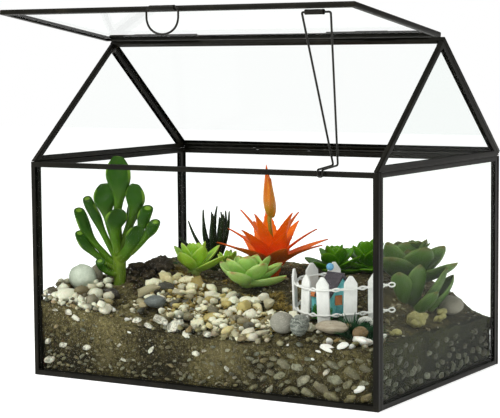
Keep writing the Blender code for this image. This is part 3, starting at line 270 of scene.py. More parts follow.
class Signal:
    """A socket that can be used in sums."""

    def __init__(self, look, socket):
        self.look = look
        self.socket = socket

    def reckon(self, operation, first, second):
        return self.look.node("ShaderNodeMath", {"operation": operation}, {0: first, 1: second})

    def __add__(self, other):
        return self.reckon("ADD", self, other)

    def __radd__(self, other):
        return self.reckon("ADD", other, self)

    def __sub__(self, other):
        return self.reckon("SUBTRACT", self, other)

    def __mul__(self, other):
        return self.reckon("MULTIPLY", self, other)

    def __rmul__(self, other):
        return self.reckon("MULTIPLY", other, self)

    def __pow__(self, other):
        return self.reckon("POWER", self, other)


class Look:
    """A material while its nodes are laid out."""

    def __init__(self, name):
        self.material = bpy.data.materials.new(name)
        self.material.use_nodes = True
        self.tree = self.material.node_tree
        self.tree.nodes.clear()
        self.place = None

    def node(self, kind, settings=None, inputs=None, output=0):
        node = self.tree.nodes.new(kind)
        for key, value in (settings or {}).items():
            if key == "stops":
                ramp = node.color_ramp
                while len(ramp.elements) < len(value):
                    ramp.elements.new(0.5)
                for element, (at, color) in zip(ramp.elements, value):
                    element.position = at
                    element.color = (*color, 1.0)
            else:
                setattr(node, key, value)
        for key, value in (inputs or {}).items():
            if isinstance(value, Signal):
                self.tree.links.new(value.socket, node.inputs[key])
            else:
                node.inputs[key].default_value = value
        return Signal(self, node.outputs[output])

    def where(self, stretch=(1.0, 1.0, 1.0)):
        """Place on the piece in millimetres."""
        if self.place is None:
            self.place = self.node("ShaderNodeTexCoord", output="Object")
        scale = tuple(s / MM for s in stretch)
        return self.node("ShaderNodeVectorMath", {"operation": "MULTIPLY"}, {0: self.place, 1: scale})

    def height(self):
        """Height over the shelf in millimetres."""
        return self.node("ShaderNodeSeparateXYZ", inputs={0: self.where()}, output="Z")

    def grain(self, size, detail=3.0, rough=0.55, at=None, twist=0.0):
        """Noise whose lumps are about this many millimetres across."""
        return self.node("ShaderNodeTexNoise", {}, {"Vector": at or self.where(), "Scale": 1.0 / size,
                         "Detail": detail, "Roughness": rough, "Distortion": twist}, "Fac")

    def cells(self, size, output="Distance"):
        """Cells about this many millimetres across."""
        return self.node("ShaderNodeTexVoronoi", {}, {"Vector": self.where(), "Scale": 1.0 / size}, output)

    def grade(self, value, low, high):
        """0 below low, 1 above high, smooth between."""
        return self.node("ShaderNodeMapRange", {"interpolation_type": "SMOOTHSTEP"},
                         {"Value": value, "From Min": low, "From Max": high})

    def ramp(self, value, *stops):
        return self.node("ShaderNodeValToRGB", {"stops": stops}, {0: value})

    def blend(self, factor, first, second, how="MIX"):
        """Mix of two colours."""
        first = first if isinstance(first, Signal) else (*first, 1.0)
        second = second if isinstance(second, Signal) else (*second, 1.0)
        return self.node("ShaderNodeMix", {"data_type": "RGBA", "blend_type": how},
                         {0: factor, 6: first, 7: second}, 2)

    def note(self, name):
        """Value that the mesh carries under this name."""
        return self.node("ShaderNodeAttribute", {"attribute_name": name}, output="Fac")

    def bump(self, value, depth, strength=1.0):
        """Relief whose deepest part is this many millimetres."""
        return self.node("ShaderNodeBump", {}, {"Height": value, "Distance": depth * MM,
                         "Strength": strength})

    def surface(self, color, rough, relief=None, **fixed):
        """Ends the material in one principled surface."""
        inputs = {"Base Color": color if isinstance(color, Signal) else (*color, 1.0), "Roughness": rough}
        if relief is not None:
            inputs["Normal"] = relief
        inputs.update({key.replace("_", " "): value for key, value in fixed.items()})
        return self.out(self.node("ShaderNodeBsdfPrincipled", {}, inputs))

    def out(self, shader):
        end = self.tree.nodes.new("ShaderNodeOutputMaterial")
        self.tree.links.new(shader.socket, end.inputs["Surface"])
        return self.material


def scaled(color, factor, lift=0.0):
    return tuple(min(1.0, lift + factor * v) for v in color)


def patina_black():
    """Black finish on the soldered metal channel, a little browner where it is rubbed."""
    look = Look("patina_black")
    cloud = look.grain(14.0, 4.0)
    fine = look.grain(0.8, 5.0, 0.7)
    streak = look.grain(2.2, 4.0, 0.6, at=look.where((1.0, 1.0, 0.22)))
    color = look.ramp(cloud * 0.6 + streak * 0.4, (0.32, (0.0024, 0.0022, 0.0012)),
                      (0.55, (0.0060, 0.0056, 0.0030)), (0.72, (0.016, 0.014, 0.008)))
    worn = look.grade(fine, 0.62, 0.80)
    color = look.blend(worn * 0.35, color, (0.055, 0.040, 0.022))
    rough = 0.36 + 0.22 * streak
    relief = look.bump(fine * 0.35 + streak * 0.65, 0.16, 0.5)
    return look.surface(color, rough, relief, Specular_IOR_Level=0.13)


def wire_black():
    look = Look("wire_black")
    fine = look.grain(0.6, 4.0)
    color = look.ramp(fine, (0.35, (0.0035, 0.0034, 0.0026)), (0.7, (0.015, 0.0135, 0.010)))
    return look.surface(color, 0.30 + 0.2 * fine, look.bump(fine, 0.05, 0.5), Specular_IOR_Level=0.2)


def solder_grey():
    """Solder that has taken the black finish unevenly."""
    look = Look("solder_black")
    cloud = look.grain(3.0, 4.0)
    color = look.ramp(cloud, (0.3, (0.0035, 0.0034, 0.0026)), (0.6, (0.010, 0.009, 0.006)),
                      (0.8, (0.035, 0.032, 0.026)))
    return look.surface(color, 0.26 + 0.25 * cloud, look.bump(look.grain(1.2, 3.0), 0.2, 0.5),
                        Specular_IOR_Level=0.18)


def pane_glass(name, haze, hue, dust_and_reflection):
    """Thin window glass: what lies behind shows through, with a gloss that grows at a slant."""
    look = Look(name)
    clear = look.node("ShaderNodeBsdfTransparent", {}, {"Color": (*hue, 1.0)})
    gloss = look.node("ShaderNodeBsdfGlossy", {}, {"Color": (1.0, 1.0, 1.0, 1.0), "Roughness": 0.02})
    slant = look.node("ShaderNodeLayerWeight", {}, {"Blend": 0.5}, "Facing")
    glass = look.node("ShaderNodeMixShader", {}, {0: 0.0008 + 0.11 * slant ** 5, 1: clear, 2: gloss})
    # Diffuse film over the glass: dust, and on the right pane a painted greenish reflection
    film = look.node("ShaderNodeBsdfDiffuse", {}, {"Color": (*haze, 1.0)})
    smear = look.grade(look.grain(38.0, 4.0, 0.6), 0.38, 0.75)
    speck = look.grade(look.cells(3.1), 0.14, 0.05)
    veil = dust_and_reflection * (0.35 + smear) + speck * (dust_and_reflection * 0.8)
    return look.out(look.node("ShaderNodeMixShader", {}, {0: veil, 1: glass, 2: film}))


def potting_soil():
    """Damp brown mix with pale grit and darker crumbs."""
    look = Look("potting_soil")
    cloud = look.grain(26.0, 4.0, 0.6)
    crumb = look.grain(2.6, 6.0, 0.72)
    fine = look.grain(0.7, 3.0, 0.6)
    deep = look.grade(look.height() + 10.0 * cloud, 40.0, 12.0)
    broad = look.grain(44.0, 3.0, 0.5)
    color = look.ramp(crumb * 0.42 + fine * 0.23 + cloud * 0.20 + broad * 0.15 - deep * 0.03,
                      (0.40, (0.007, 0.006, 0.002)), (0.46, (0.028, 0.023, 0.009)), (0.52, (0.088, 0.073, 0.028)),
                      (0.58, (0.18, 0.152, 0.062)), (0.66, (0.36, 0.31, 0.15)))
    dusty = look.grade(look.grain(30.0, 4.0, 0.65), 0.56, 0.70)
    color = look.blend(dusty * 0.45, color, (0.17, 0.142, 0.066))
    seed = look.cells(1.7, "Color")
    lot = look.node("ShaderNodeSeparateColor", {}, {0: seed}, 0)
    grit = look.grade(look.cells(1.7), 0.36, 0.26) * look.grade(lot, 0.84, 0.86)
    color = look.blend(grit * 0.75, color, look.ramp(lot, (0.86, (0.26, 0.22, 0.13)), (0.93, (0.42, 0.39, 0.28)),
                                                     (0.98, (0.07, 0.06, 0.05))))
    sand = look.node("ShaderNodeSeparateColor", {}, {0: look.cells(0.95, "Color")}, 2)
    grains = look.grade(look.cells(0.95), 0.42, 0.30) * look.grade(sand, 0.66, 0.70)
    color = look.blend(grains * 0.55, color, look.ramp(sand, (0.70, (0.34, 0.27, 0.14)), (0.84, (0.16, 0.12, 0.055)),
                       (0.92, (0.018, 0.015, 0.010))))
    bits = look.cells(3.8, "Color")
    draw = look.node("ShaderNodeSeparateColor", {}, {0: bits}, 1)
    bark = look.grade(look.cells(3.8), 0.40, 0.28) * look.grade(draw, 0.80, 0.83)
    color = look.blend(bark * 0.75, color, look.ramp(draw, (0.8, (0.10, 0.055, 0.022)), (1.0, (0.022, 0.015, 0.010))))
    # Darker towards the bottom of the bed, in cloudy patches
    low_darkening = look.grade(look.height() + 16.0 * cloud, 36.0, 14.0)
    side = look.node("ShaderNodeSeparateXYZ", inputs={0: look.where()}, output="X")
    color = look.blend(low_darkening * 0.5, color, (0.50, 0.50, 0.44), "MULTIPLY")
    # Darker towards the right: painted shade, as the lamps light the bed from the left
    color = look.blend(look.grade(side, 10.0, 110.0) * 0.4, color, (0.50, 0.50, 0.44), "MULTIPLY")
    # Darker and greener against the right end: painted shade and the greenish reflection of the hazy right pane
    end = look.grade(side, 117.2, 118.8)
    color = look.blend(end * 0.9, color, (0.32, 0.42, 0.30), "MULTIPLY")
    relief = look.bump(crumb * 0.6 + fine * 0.25 + grit * 0.3 + bark * 0.25, 1.4, 1.0)
    return look.surface(color, 0.93, relief, Specular_IOR_Level=0.22)


def pebble_look(name, *stops, dirt=0.0):
    """Mixed pebbles: each one's own number picks its colour, and soil may cling to them."""
    look = Look(name)
    own = look.note("lot")
    mottle = look.grain(1.6, 5.0, 0.65)
    vein = look.grade(look.grain(3.2, 4.0, 0.7, twist=1.6), 0.56, 0.66)
    color = look.ramp(own, *stops)
    color = look.blend(look.grade(mottle, 0.42, 0.72) * 0.45, color, (0.82, 0.76, 0.62), "MULTIPLY")
    color = look.blend(vein * 0.22, color, (0.50, 0.33, 0.14), "MULTIPLY")
    if dirt:
        crust = look.grade(look.grain(3.4, 6.0, 0.72), 0.44, 0.58)
        color = look.blend(crust * dirt, color, (0.052, 0.044, 0.019))
    rough = 0.42 + 0.3 * mottle
    relief = look.bump(look.grain(0.7, 4.0) * 0.6 + mottle * 0.4, 0.22, 0.6)
    return look.surface(color, rough, relief, Subsurface_Weight=0.08, Subsurface_Scale=0.002)


def stone_look(name, dark, light, vein, vein_share, size=3.0, band=0.0, rough=0.6):
    """Single stone with mottling, veins and bands in its own colours."""
    look = Look(name)
    mottle = look.grain(size, 6.0, 0.68)
    cloud = look.grain(size * 3.2, 3.0)
    color = look.ramp(mottle * 0.55 + cloud * 0.45, (0.34, dark), (0.66, light))
    if band:
        rings = look.node("ShaderNodeTexWave", {"wave_type": "BANDS", "bands_direction": "Z"},
                          {"Vector": look.where(), "Scale": 0.12, "Distortion": 5.0, "Detail": 3.0,
                           "Detail Scale": 1.4}, "Fac")
        color = look.blend(look.grade(rings, 0.5, 0.8) * band, color, vein)
    lines = look.grain(size * 2.4, 4.0, 0.6, twist=1.2)
    crack = look.grade(lines, 0.485, 0.5) * look.grade(lines, 0.52, 0.505)
    color = look.blend(crack * vein_share, color, vein)
    fleck = look.grade(look.cells(0.9), 0.22, 0.1)
    color = look.blend(fleck * 0.25, color, scaled(dark, 0.5))
    relief = look.bump(mottle * 0.5 + look.grain(0.6, 4.0) * 0.4 - crack * 0.3, 0.4, 0.6)
    return look.surface(color, rough - 0.15 + 0.3 * mottle, relief)


def leaf_look(name, root, middle, tip, edge, edge_share=0.6, tip_share=0.8, rough=0.38, bloom=0.0,
              gloss=0.3, glow=0.12, vary=0.35, spots=0.0, tip_from=0.90, streak=0.0):
    """Fleshy leaf: colour runs from root to tip, and the rim and the tip take their own."""
    look = Look(name)
    along = look.note("along")
    rim = look.note("rim")
    own = look.note("lot")
    cloud = look.grain(5.0, 4.0, 0.6)
    fine = look.grain(0.9, 4.0, 0.6)
    paler = tuple(0.7 * m + 0.3 * e for m, e in zip(middle, edge))
    color = look.ramp(along, (0.0, root), (0.35, middle), (0.80, middle), (1.0, paler))
    color = look.blend(look.grade(cloud, 0.35, 0.75) * vary, color, scaled(middle, 0.55))
    color = look.blend(look.grade(own, 0.45, 1.0) * vary, color, scaled(middle, 1.45))
    point = look.grade(along + cloud * 0.06, tip_from, tip_from + (0.30 if streak else 0.12))
    color = look.blend(point * tip_share, color, tip)
    outer = look.grade(rim, 0.72, 1.0) * look.grade(along, 0.2, 0.6)
    color = look.blend(outer * edge_share, color, edge)
    if streak:
        lines = look.grain(1.3, 3.0, at=look.where((1.0, 1.0, 0.14)))
        color = look.blend(look.grade(lines, 0.5, 0.66) * streak, color, scaled(middle, 0.6))
    if bloom:
        # Waxy bloom, rubbed away in patches
        wax = look.grade(look.grain(7.0, 5.0, 0.65), 0.36, 0.62)
        color = look.blend(wax * bloom, color, scaled(middle, 0.55, 0.45))
    if spots:
        dot = look.grade(look.cells(1.4), 0.26, 0.14)
        color = look.blend(dot * spots, color, scaled(middle, 0.5, 0.5))
    relief = look.bump(cloud * 0.5 + fine * 0.25, 0.5, 0.45)
    return look.surface(color, rough + 0.18 * cloud, relief, Subsurface_Weight=glow, Subsurface_Scale=0.003,
                        Specular_IOR_Level=gloss)


def moss_look(name, dark, light):
    look = Look(name)
    tone = look.grain(1.1, 5.0, 0.7)
    own = look.note("lot")
    color = look.ramp(tone * 0.6 + own * 0.4, (0.25, dark), (0.75, light))
    return look.surface(color, 0.8, look.bump(tone, 0.5, 0.8), Specular_IOR_Level=0.25)


def toy_paint(name, base, shade, worn, size=2.4, rough=0.5, dirt=0.25):
    """Brushed paint on cast resin, dirty towards the ground and worn in small scattered chips."""
    look = Look(name)
    cloud = look.grain(size * 2.5, 4.0, 0.6)
    brush = look.grain(size * 0.35, 5.0, 0.7, at=look.where((1.0, 1.0, 0.35)))
    color = look.blend(look.grade(cloud * 0.6 + brush * 0.4, 0.38, 0.68), base, shade)
    chip = look.grade(look.grain(size * 0.5, 5.0, 0.75), 0.66, 0.74)
    color = look.blend(chip * 0.6, color, worn)
    splash = look.grade(look.height() + look.grain(3.0, 4.0) * 9.0, 56.0, 46.0)
    color = look.blend(splash * dirt, color, (0.16, 0.12, 0.07))
    relief = look.bump(brush * 0.6 + cloud * 0.4, 0.22, 0.55)
    return look.surface(color, rough + 0.2 * brush, relief)


# The channel, the glass and the metal fittings

def make_channels(metal, solder):
    """The nine channels with rolled edges, and solder along and over their joints."""
    for name in PANES:
        finished(rounded(solid_copy(f"frame_{name}"), 0.55, 3), f"channel_{name}", metal,
                 "lid" if name == "lid" else "case", 40, (f"frame_{name}",))
    half_w, half_d = WIDTH / 2, DEPTH / 2
    seam_y = half_d - CAME_THICK - 0.15
    thin, thick = 0.42, 1.15
    corners = [(sx * (half_w - 2.3), sy * (half_d - 2.3)) for sy in (-1, 1) for sx in (-1, 1)]
    beads = []
    for x in (thin - half_w, half_w - thin):
        for y in (-seam_y, seam_y):
            beads.append(solder_bead([(x, y, 1.0), (x, y, WALL_HEIGHT - 0.6)], thin))
        beads.append(solder_bead([(x, -seam_y, WALL_HEIGHT + 0.15), (x, seam_y, WALL_HEIGHT + 0.15)], thin))
    for x, y in corners:
        beads.append(solder_blob((x, y, WALL_HEIGHT - 1.2), (2.2, 2.2, 1.6)))
        beads.append(solder_blob((x, y, 2.0), (2.2, 2.2, 2.0)))
    for sx in (-1, 1):
        beads.append(solder_blob((sx * (half_w - 2.2), 0.0, RIDGE_HEIGHT - 3.6), (2.1, 3.4, 2.6)))
    # The back roof pane's channel is soldered along the top of the back wall
    y, z = half_d - 1.7, WALL_HEIGHT + 0.8
    beads.append(solder_bead([(3.5 - half_w, y, z), (half_w - 3.5, y, z)], thick))
    finished(joined(beads, "solder"), "solder_joints", solder, "case", None)


def solder_bead(ends, radius):
    """Thin uneven run of solder between two points."""
    a, b = Vector(ends[0]), Vector(ends[1])
    length = (b - a).length
    obj = start(bpy.ops.mesh.primitive_cylinder_add, vertices=8, radius=radius, depth=length, end_fill_type="NGON")
    edit(obj, "EDGE")
    pick(obj, "edges", lambda e: abs(e.verts[0].co.z - e.verts[1].co.z) > length * 0.5)
    bpy.ops.mesh.subdivide(number_cuts=max(6, int(length / 2.5)))
    let_go()
    obj.data.transform(moved((a + b) / 2) @ (b - a).to_track_quat("Z", "Y").to_matrix().to_4x4())
    for vert in obj.data.vertices:
        along = min(max((vert.co - a).dot(b - a) / (b - a).length_squared, 0.0), 1.0)
        middle = a.lerp(b, along)
        swell = 0.8 + 0.35 * noise.noise(vert.co * 0.35)
        vert.co = middle + (vert.co - middle) * min(swell, 1.0)
    return obj


def solder_blob(centre, radii):
    obj = start(bpy.ops.mesh.primitive_ico_sphere_add, subdivisions=3, radius=1.0)
    for vert in obj.data.vertices:
        lump = 1.0 - 0.14 * abs(noise.noise(vert.co * 1.7 + Vector(centre)))
        vert.co = Vector((vert.co.x * radii[0], vert.co.y * radii[1], vert.co.z * radii[2])) * lump
    obj.data.transform(moved(centre))
    return obj


def dress_glass():
    """The panes keep their solids. The right one is hazy in the photograph."""
    clear = pane_glass("pane_clear", (0.75, 0.80, 0.76), (0.985, 0.995, 0.99), 0.0014)
    # The right pane's thicker grey-green film is a painted reflection of the dim green surroundings
    hazy_reflecting = pane_glass("pane_hazy_reflecting", (0.45, 0.48, 0.42), (0.95, 0.965, 0.95), 0.012)
    for name in PANES:
        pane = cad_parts[f"glass_{name}"]
        pane.data.materials.clear()
        pane.data.materials.append(hazy_reflecting if name == "right" else clear)


def lid_place():
    """Frame of the lid: X along the hinge, Y up the slope, Z out of its face."""
    rad = math.radians(LID_OPEN_ANGLE)
    up = Vector((0, math.cos(rad), -math.sin(rad)))
    along = Vector((1, 0, 0))
    matrix = Matrix((along, up, along.cross(up))).transposed().to_4x4()
    matrix.translation = (0, 0, HINGE_Z)
    return matrix


def rod(x0, x1, y, z, radius, sides):
    """Round bar along X."""
    return start(bpy.ops.mesh.primitive_cylinder_add, True, vertices=sides, radius=radius, depth=x1 - x0,
                 end_fill_type="NGON", rotation=(0, math.pi / 2, 0), location=((x0 + x1) / 2, y, z))


def bored_rod(x0, x1, y, z, wall, depth):
    """Bar along X whose ends are sunk inside its wall. Edit mode stays on."""
    tube = rod(x0, x1, y, z, 1.6, 28)
    edit(tube, "FACE")
    pick(tube, "faces", lambda f: len(f.verts) > 8)
    bpy.ops.mesh.inset(thickness=wall)
    for end, push in ((x0, depth), (x1, -depth)):
        pick(tube, "faces", lambda f, end=end: len(f.verts) > 8 and abs(f.calc_center_median().x - end) < 0.01)
        extrude(push, 0, 0)
    return tube


def wire(points, radius, closed=True, sides=3):
    """Round wire along points, made a mesh."""
    obj = start(bpy.ops.curve.primitive_bezier_curve_add)
    curve = obj.data
    curve.dimensions = "3D"
    curve.splines.clear()
    spline = curve.splines.new("POLY")
    spline.points.add(len(points) - 1)
    for knot, point in zip(spline.points, points):
        knot.co = (*point, 1.0)
    spline.use_cyclic_u = closed
    curve.bevel_depth = radius
    curve.bevel_resolution = sides
    curve.use_fill_caps = not closed
    take(obj)
    bpy.ops.object.convert(target="MESH")
    return outward(bpy.context.object)


def hinge_barrel(x0, x1, turn, inward):
    """Rolled barrel with its flat leaf, along the ridge."""
    barrel = bored_rod(x0, x1, 0, 0, 0.6, 0.8)
    near, far = sorted((1.2 * inward, 6.0 * inward))
    leaf = block((x0, near, 0.131), (x1, far, 0.931), 0.2)
    rounded(barrel, 0.12, 2, 50)
    piece = joined([barrel, leaf], "hinge_barrel")
    piece.data.transform(turn)
    return piece


def make_fittings(metal, bright):
    """Hinge barrels and pins on the ridge, the two sleeves, the pull and the prop."""
    lid = lid_place()
    back = moved((0, 0, HINGE_Z)) @ spun(-math.atan2(RIDGE_HEIGHT - WALL_HEIGHT, DEPTH / 2), "X")
    gap = 0.6
    for zone, x0, x1 in (("left", -124.0, -54.0), ("right", 44.0, 113.0)):
        length = (x1 - x0 - 2 * gap) / 3
        first = x0 + length + gap
        for part, node, low, high, turn, inward, body in (
                ("outer", "outer", x0, x0 + length, back, 1, "case"),
                ("inner", "inner", first + length + gap, x1, back, 1, "case"),
                ("middle", "lid", first, first + length, lid, -1, "lid")):
            finished(hinge_barrel(low, high, turn, inward), f"hinge_{zone}_{part}", metal, body, 35,
                     (f"hinge_tube_{zone}_{node}",))
        pin = rounded(rod(x0, x1, 0, HINGE_Z, 0.72, 20), 0.3, 3, 50)
        finished(pin, f"pin_{zone}", bright, "case", 35, (f"hinge_pin_{zone}",))
    for name, x0, x1, y, z in (("ring", -10.25, 7.25, *RING_SEAT), ("prop", 92.2, 104.2, *PROP_SEAT)):
        finished(sleeve(x0, x1, y, z), f"socket_{name}", metal, "lid", 35, (f"sleeve_{name}",))
    make_pull(-1.5, *RING_SEAT, bright)
    make_prop(*PROP_SEAT, bright)


def sleeve(x0, x1, y, z):
    """Short tube with a rolled rim at each end."""
    tube = bored_rod(x0, x1, y, z, 0.5, 0.9)
    middle = (x0 + x1) / 2
    pick(tube, "edges", lambda e: abs(e.verts[0].co.x - e.verts[1].co.x) > 5.0)
    bpy.ops.mesh.subdivide(number_cuts=6)
    let_go()
    for vert in tube.data.vertices:
        away = Vector((0, vert.co.y - y, vert.co.z - z))
        if abs(vert.co.x - middle) < (x1 - x0) * 0.42 and away.length > 1.3:
            vert.co -= away.normalized() * 0.08 * (1 + noise.noise(vert.co * 0.6))
    return rounded(tube, 0.15, 2, 50)


def make_pull(x, y, z, metal):
    """D-shaped wire pull that hangs from its sleeve."""
    half, corner, low, steps, bow = 11.25, 2.0, 11.5, 6, 40
    points = []
    for sign in (-1, 1):
        for i in range(steps + 1):
            turn = math.pi / 2 * i / steps
            across, up = (math.sin(turn), math.cos(turn)) if sign > 0 else (math.cos(turn), math.sin(turn))
            points.append((x + sign * (half - corner + corner * across), y, z - corner + corner * up))
    for i in range(1, bow):
        turn = math.pi * i / bow
        points.append((x + half * math.cos(turn), y, z - 2 * corner - low * math.sin(turn) ** 0.8))
    finished(wire(points, WIRE_RADIUS), "pull_wire", metal, "ring", None, ("ring",))


def rounded_path(corners, radii, steps=9):
    """Points along straight runs joined by arcs at the inner corners."""
    points = [Vector(corners[0])]
    for before, corner, after, radius in zip(corners, corners[1:], corners[2:], radii):
        corner = Vector(corner)
        back = (Vector(before) - corner).normalized()
        on = (Vector(after) - corner).normalized()
        half = back.angle(on) / 2
        reach = radius / math.tan(half)
        centre = corner + (back + on).normalized() * (radius / math.sin(half))
        first = corner + back * reach - centre
        last = corner + on * reach - centre
        points += [centre + first.slerp(last, i / steps) for i in range(steps + 1)]
    points.append(Vector(corners[-1]))
    return points


def make_prop(y, z, metal):
    """One wire: a bar in its sleeve, two legs that draw together, and a hook over the rail."""
    left_x, right_x, knee_x, spread, bend = 89.8, 108.6, 88.5, 3.0, 12
    foot_z = WALL_HEIGHT + 0.3 + WIRE_RADIUS
    knee_y = -DEPTH / 2 + 17.5
    tip_y = -DEPTH / 2 - 2.0
    drop_z = foot_z - 3.2
    tip = []
    for i in range(bend + 1):
        turn = math.pi * i / bend
        tip.append(Vector((knee_x - spread / 2 * math.cos(turn), tip_y, drop_z - spread / 2 * math.sin(turn) * 0.6)))
    legs = []
    for top_x, foot_x in ((left_x, knee_x - spread / 2), (right_x, knee_x + spread / 2)):
        legs.append(rounded_path([((left_x + right_x) / 2, y, z), (top_x, y, z), (foot_x, knee_y, foot_z + 1.3),
                                  (foot_x, tip_y, foot_z), (foot_x, tip_y, drop_z)], (1.1, 1.2, 1.0))[1:-1])
    points = legs[0] + tip + legs[1][::-1]
    finished(wire(points, WIRE_RADIUS), "prop_wire", metal, "prop", None, ("prop",))


# Soil

soil_tree = None


def ground(x, y):
    """Height of the soil's solid at a point."""
    hit = soil_tree.ray_cast(Vector((x, y, 400.0)), Vector((0, 0, -1)))
    return hit[0].z if hit[0] is not None else 40.0


def read_soil():
    global soil_tree
    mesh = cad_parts["soil"].data
    verts = [v.co / MM for v in mesh.vertices]
    faces = [tuple(p.vertices) for p in mesh.polygons if p.normal.z > 0.3
             and p.center.z / MM > 28.0]
    soil_tree = BVHTree.FromPolygons(verts, faces)


def soil_relief(x, y):
    """Crumbs and hollows on top of the solid's height."""
    spot = Vector((x, y, 0.0))
    broad = noise.noise(spot * 0.09) * 1.1
    crumb = noise.noise(spot * 0.36 + Vector((9, 0, 0))) * 0.75
    fine = noise.noise(spot * 0.95 + Vector((0, 5, 0))) * 0.42
    return broad + crumb + fine


def bed_height(x, y):
    return ground(x, y) + soil_relief(x, y)


def make_soil(material):
    """Bed of crumbly soil that fills the base up to the glass."""
    across, deep, levels = 210, 150, 16
    bed = start(bpy.ops.mesh.primitive_grid_add, x_subdivisions=across, y_subdivisions=deep, size=2.0)
    edge_x, edge_y = SOIL_X - 0.1, SOIL_Y - 0.1
    for vert in bed.data.vertices:
        x, y = vert.co.x * edge_x, vert.co.y * edge_y
        inside_x = min(max(x, 0.3 - SOIL_X), SOIL_X - 0.3)
        inside_y = min(max(y, 0.3 - SOIL_Y), SOIL_Y - 0.3)
        vert.co = Vector((x, y, bed_height(inside_x, inside_y)))
    edit(bed, "EDGE")
    pick(bed, "edges", lambda e: e.is_boundary)
    for _ in range(levels):
        bpy.ops.mesh.extrude_edges_move(TRANSFORM_OT_translate={"value": (0, 0, -1), "orient_type": "GLOBAL"})
    bpy.ops.mesh.edge_face_add()
    let_go()
    count = (across + 1) * (deep + 1)
    ring = 2 * (across + deep)
    top = {(round(v.co.x, 3), round(v.co.y, 3)): v.co.z for v in bed.data.vertices[:count]}
    for index, vert in enumerate(bed.data.vertices[count:]):
        level = index // ring + 1
        high = top[(round(vert.co.x, 3), round(vert.co.y, 3))]
        vert.co.z = high + (SOIL_FLOOR - high) * level / levels
        # The skirt is hollowed here and there, so that pebbles stand out of it
        push = -0.9 * abs(noise.noise(vert.co * 0.22)) - 0.4 * abs(noise.noise(vert.co * 0.7))
        stony = max(smoothstep((vert.co.x - 10) / 60), smoothstep((-95 - vert.co.x) / 15))
        push -= 0.7 * stony * smoothstep((high - 3.0 - vert.co.z) / 5)
        if abs(vert.co.x) > edge_x - 0.01:
            vert.co.x += push * math.copysign(1.0, vert.co.x)
        else:
            vert.co.y += push * math.copysign(1.0, vert.co.y)
    edit(bed)
    end_outward()
    finished(bed, "soil_bed", material, "case", 55, ("soil",))


# Pebbles and stones

def pebble_models():
    """A few smooth pebbles with a few dozen faces each, to copy."""
    models = []
    for seed in range(6):
        pebble = start(bpy.ops.mesh.primitive_cube_add, size=2.0)
        edit(pebble)
        bpy.ops.mesh.subdivide(number_cuts=1, smoothness=0.0)
        bpy.ops.transform.tosphere(value=0.94)
        let_go()
        for vert in pebble.data.vertices:
            point = vert.co.normalized()
            lump = 1.0 + 0.52 * noise.noise(point * 1.3 + Vector((seed * 3.7, 1.0, 0.0)))
            vert.co = Vector((point.x * (1.0 + 0.06 * seed), point.y, point.z * 0.78)) * lump
        models.append(pebble)
    return models


def shard_models():
    """Angular chips."""
    models = []
    for seed in range(4):
        chip = start(bpy.ops.mesh.primitive_ico_sphere_add, subdivisions=1, radius=1.0)
        for vert in chip.data.vertices:
            lump = 1.0 + 0.75 * noise.noise(vert.co * 1.5 + Vector((0, seed * 5.1, 0)))
            vert.co = Vector((vert.co.x * 1.2, vert.co.y * 0.95, vert.co.z * 0.78)) * lump
        models.append(rounded(chip, 0.16, 1, 10))
    return models


class Heap:
    """Stones laid one by one, each resting on the ground or on those under it."""

    # Height over width of a stone, how close two stand, and the width of a square in which they are looked up
    FLAT, CLOSE, SQUARE = 0.78, 0.86, 12

    def __init__(self, models, seed):
        self.models = models
        self.rng = random.Random(seed)
        self.copies = []
        self.squares = {}

    def square(self, x, y):
        return int(x // self.SQUARE), int(y // self.SQUARE)

    def near(self, x, y):
        i, j = self.square(x, y)
        return [s for di in (-1, 0, 1) for dj in (-1, 0, 1) for s in self.squares.get((i + di, j + dj), ())]

    def lay(self, x, y, radius, most, sink, stretch=None):
        """Sets one stone, unless it would stand too high over the soil."""
        rng = self.rng
        base = bed_height(x, y)
        z = base + radius * (self.FLAT - sink)
        for sx, sy, sz, sr in self.near(x, y):
            away = (x - sx) ** 2 + (y - sy) ** 2
            touch = ((radius + sr) * self.CLOSE) ** 2
            if away < touch:
                z = max(z, sz + math.sqrt(touch - away) * self.FLAT)
        if z - base > most:
            return False
        self.squares.setdefault(self.square(x, y), []).append((x, y, z, radius))
        long_way = stretch or rng.uniform(1.0, 1.35)
        shape = Matrix.Diagonal((radius * long_way, radius * rng.uniform(0.82, 1.0), radius, 1.0))
        tip = spun(rng.uniform(-0.45, 0.45), "X") @ spun(rng.uniform(-0.45, 0.45), "Y")
        self.put(moved((x, y, z)) @ spun(rng.uniform(0, math.tau), "Z") @ tip @ shape)
        return True

    def put(self, matrix, lot=None):
        stone = twin(self.rng.choice(self.models), matrix)
        tint(stone, lot=self.rng.random() if lot is None else lot)
        self.copies.append(stone)

    def gather(self, name, material, replaces=(), smooth=None):
        finished(joined(self.copies, name), name, material, "case", smooth, replaces)


PLANT_SPOTS = ((-87.5, -45.0, 5.4), (-62.0, 34.0, 4.0), (-12.0, 26.0, 4.5), (-52.0, -9.0, 4.0),
               (-41.0, 17.0, 3.0), (-5.0, -17.0, 7.0), (23.0, 50.0, 3.0), (40.0, 66.0, 3.0), (80.0, 43.0, 4.0))
BIG_STONES = ((-105.0, -62.0, 7.6), (-66.0, -27.0, 6.6), (-48.0, -62.0, 6.0), (51.5, -72.0, 6.8),
              (66.0, -77.0, 5.6), (85.0, -70.5, 5.4), (102.5, -68.0, 4.4), (111.0, 44.0, 8.0),
              (112.0, -12.0, 5.6))


def clear_of(x, y, spots, reach):
    return all((x - sx) ** 2 + (y - sy) ** 2 > (sr + reach) ** 2 for sx, sy, sr in spots)


def in_box(x, y, reach):
    return abs(x) < GLASS_INNER_X - reach and abs(y) < GLASS_INNER_Y - reach


def path_share(x, y):
    """How thickly gravel lies at a point of the front path, 0 to 1."""
    middle = -57.0 - 0.20 * x
    half = 21.0 if x < 20 else 21.0 - 0.35 * (x - 20)
    if x < -64 or x > 70:
        return 0.0
    away = abs(y - middle) / half
    wander = 0.28 * noise.noise(Vector((x * 0.06, y * 0.06, 7.0)))
    return 1.0 - smoothstep((away + wander - 0.62) / 0.5)


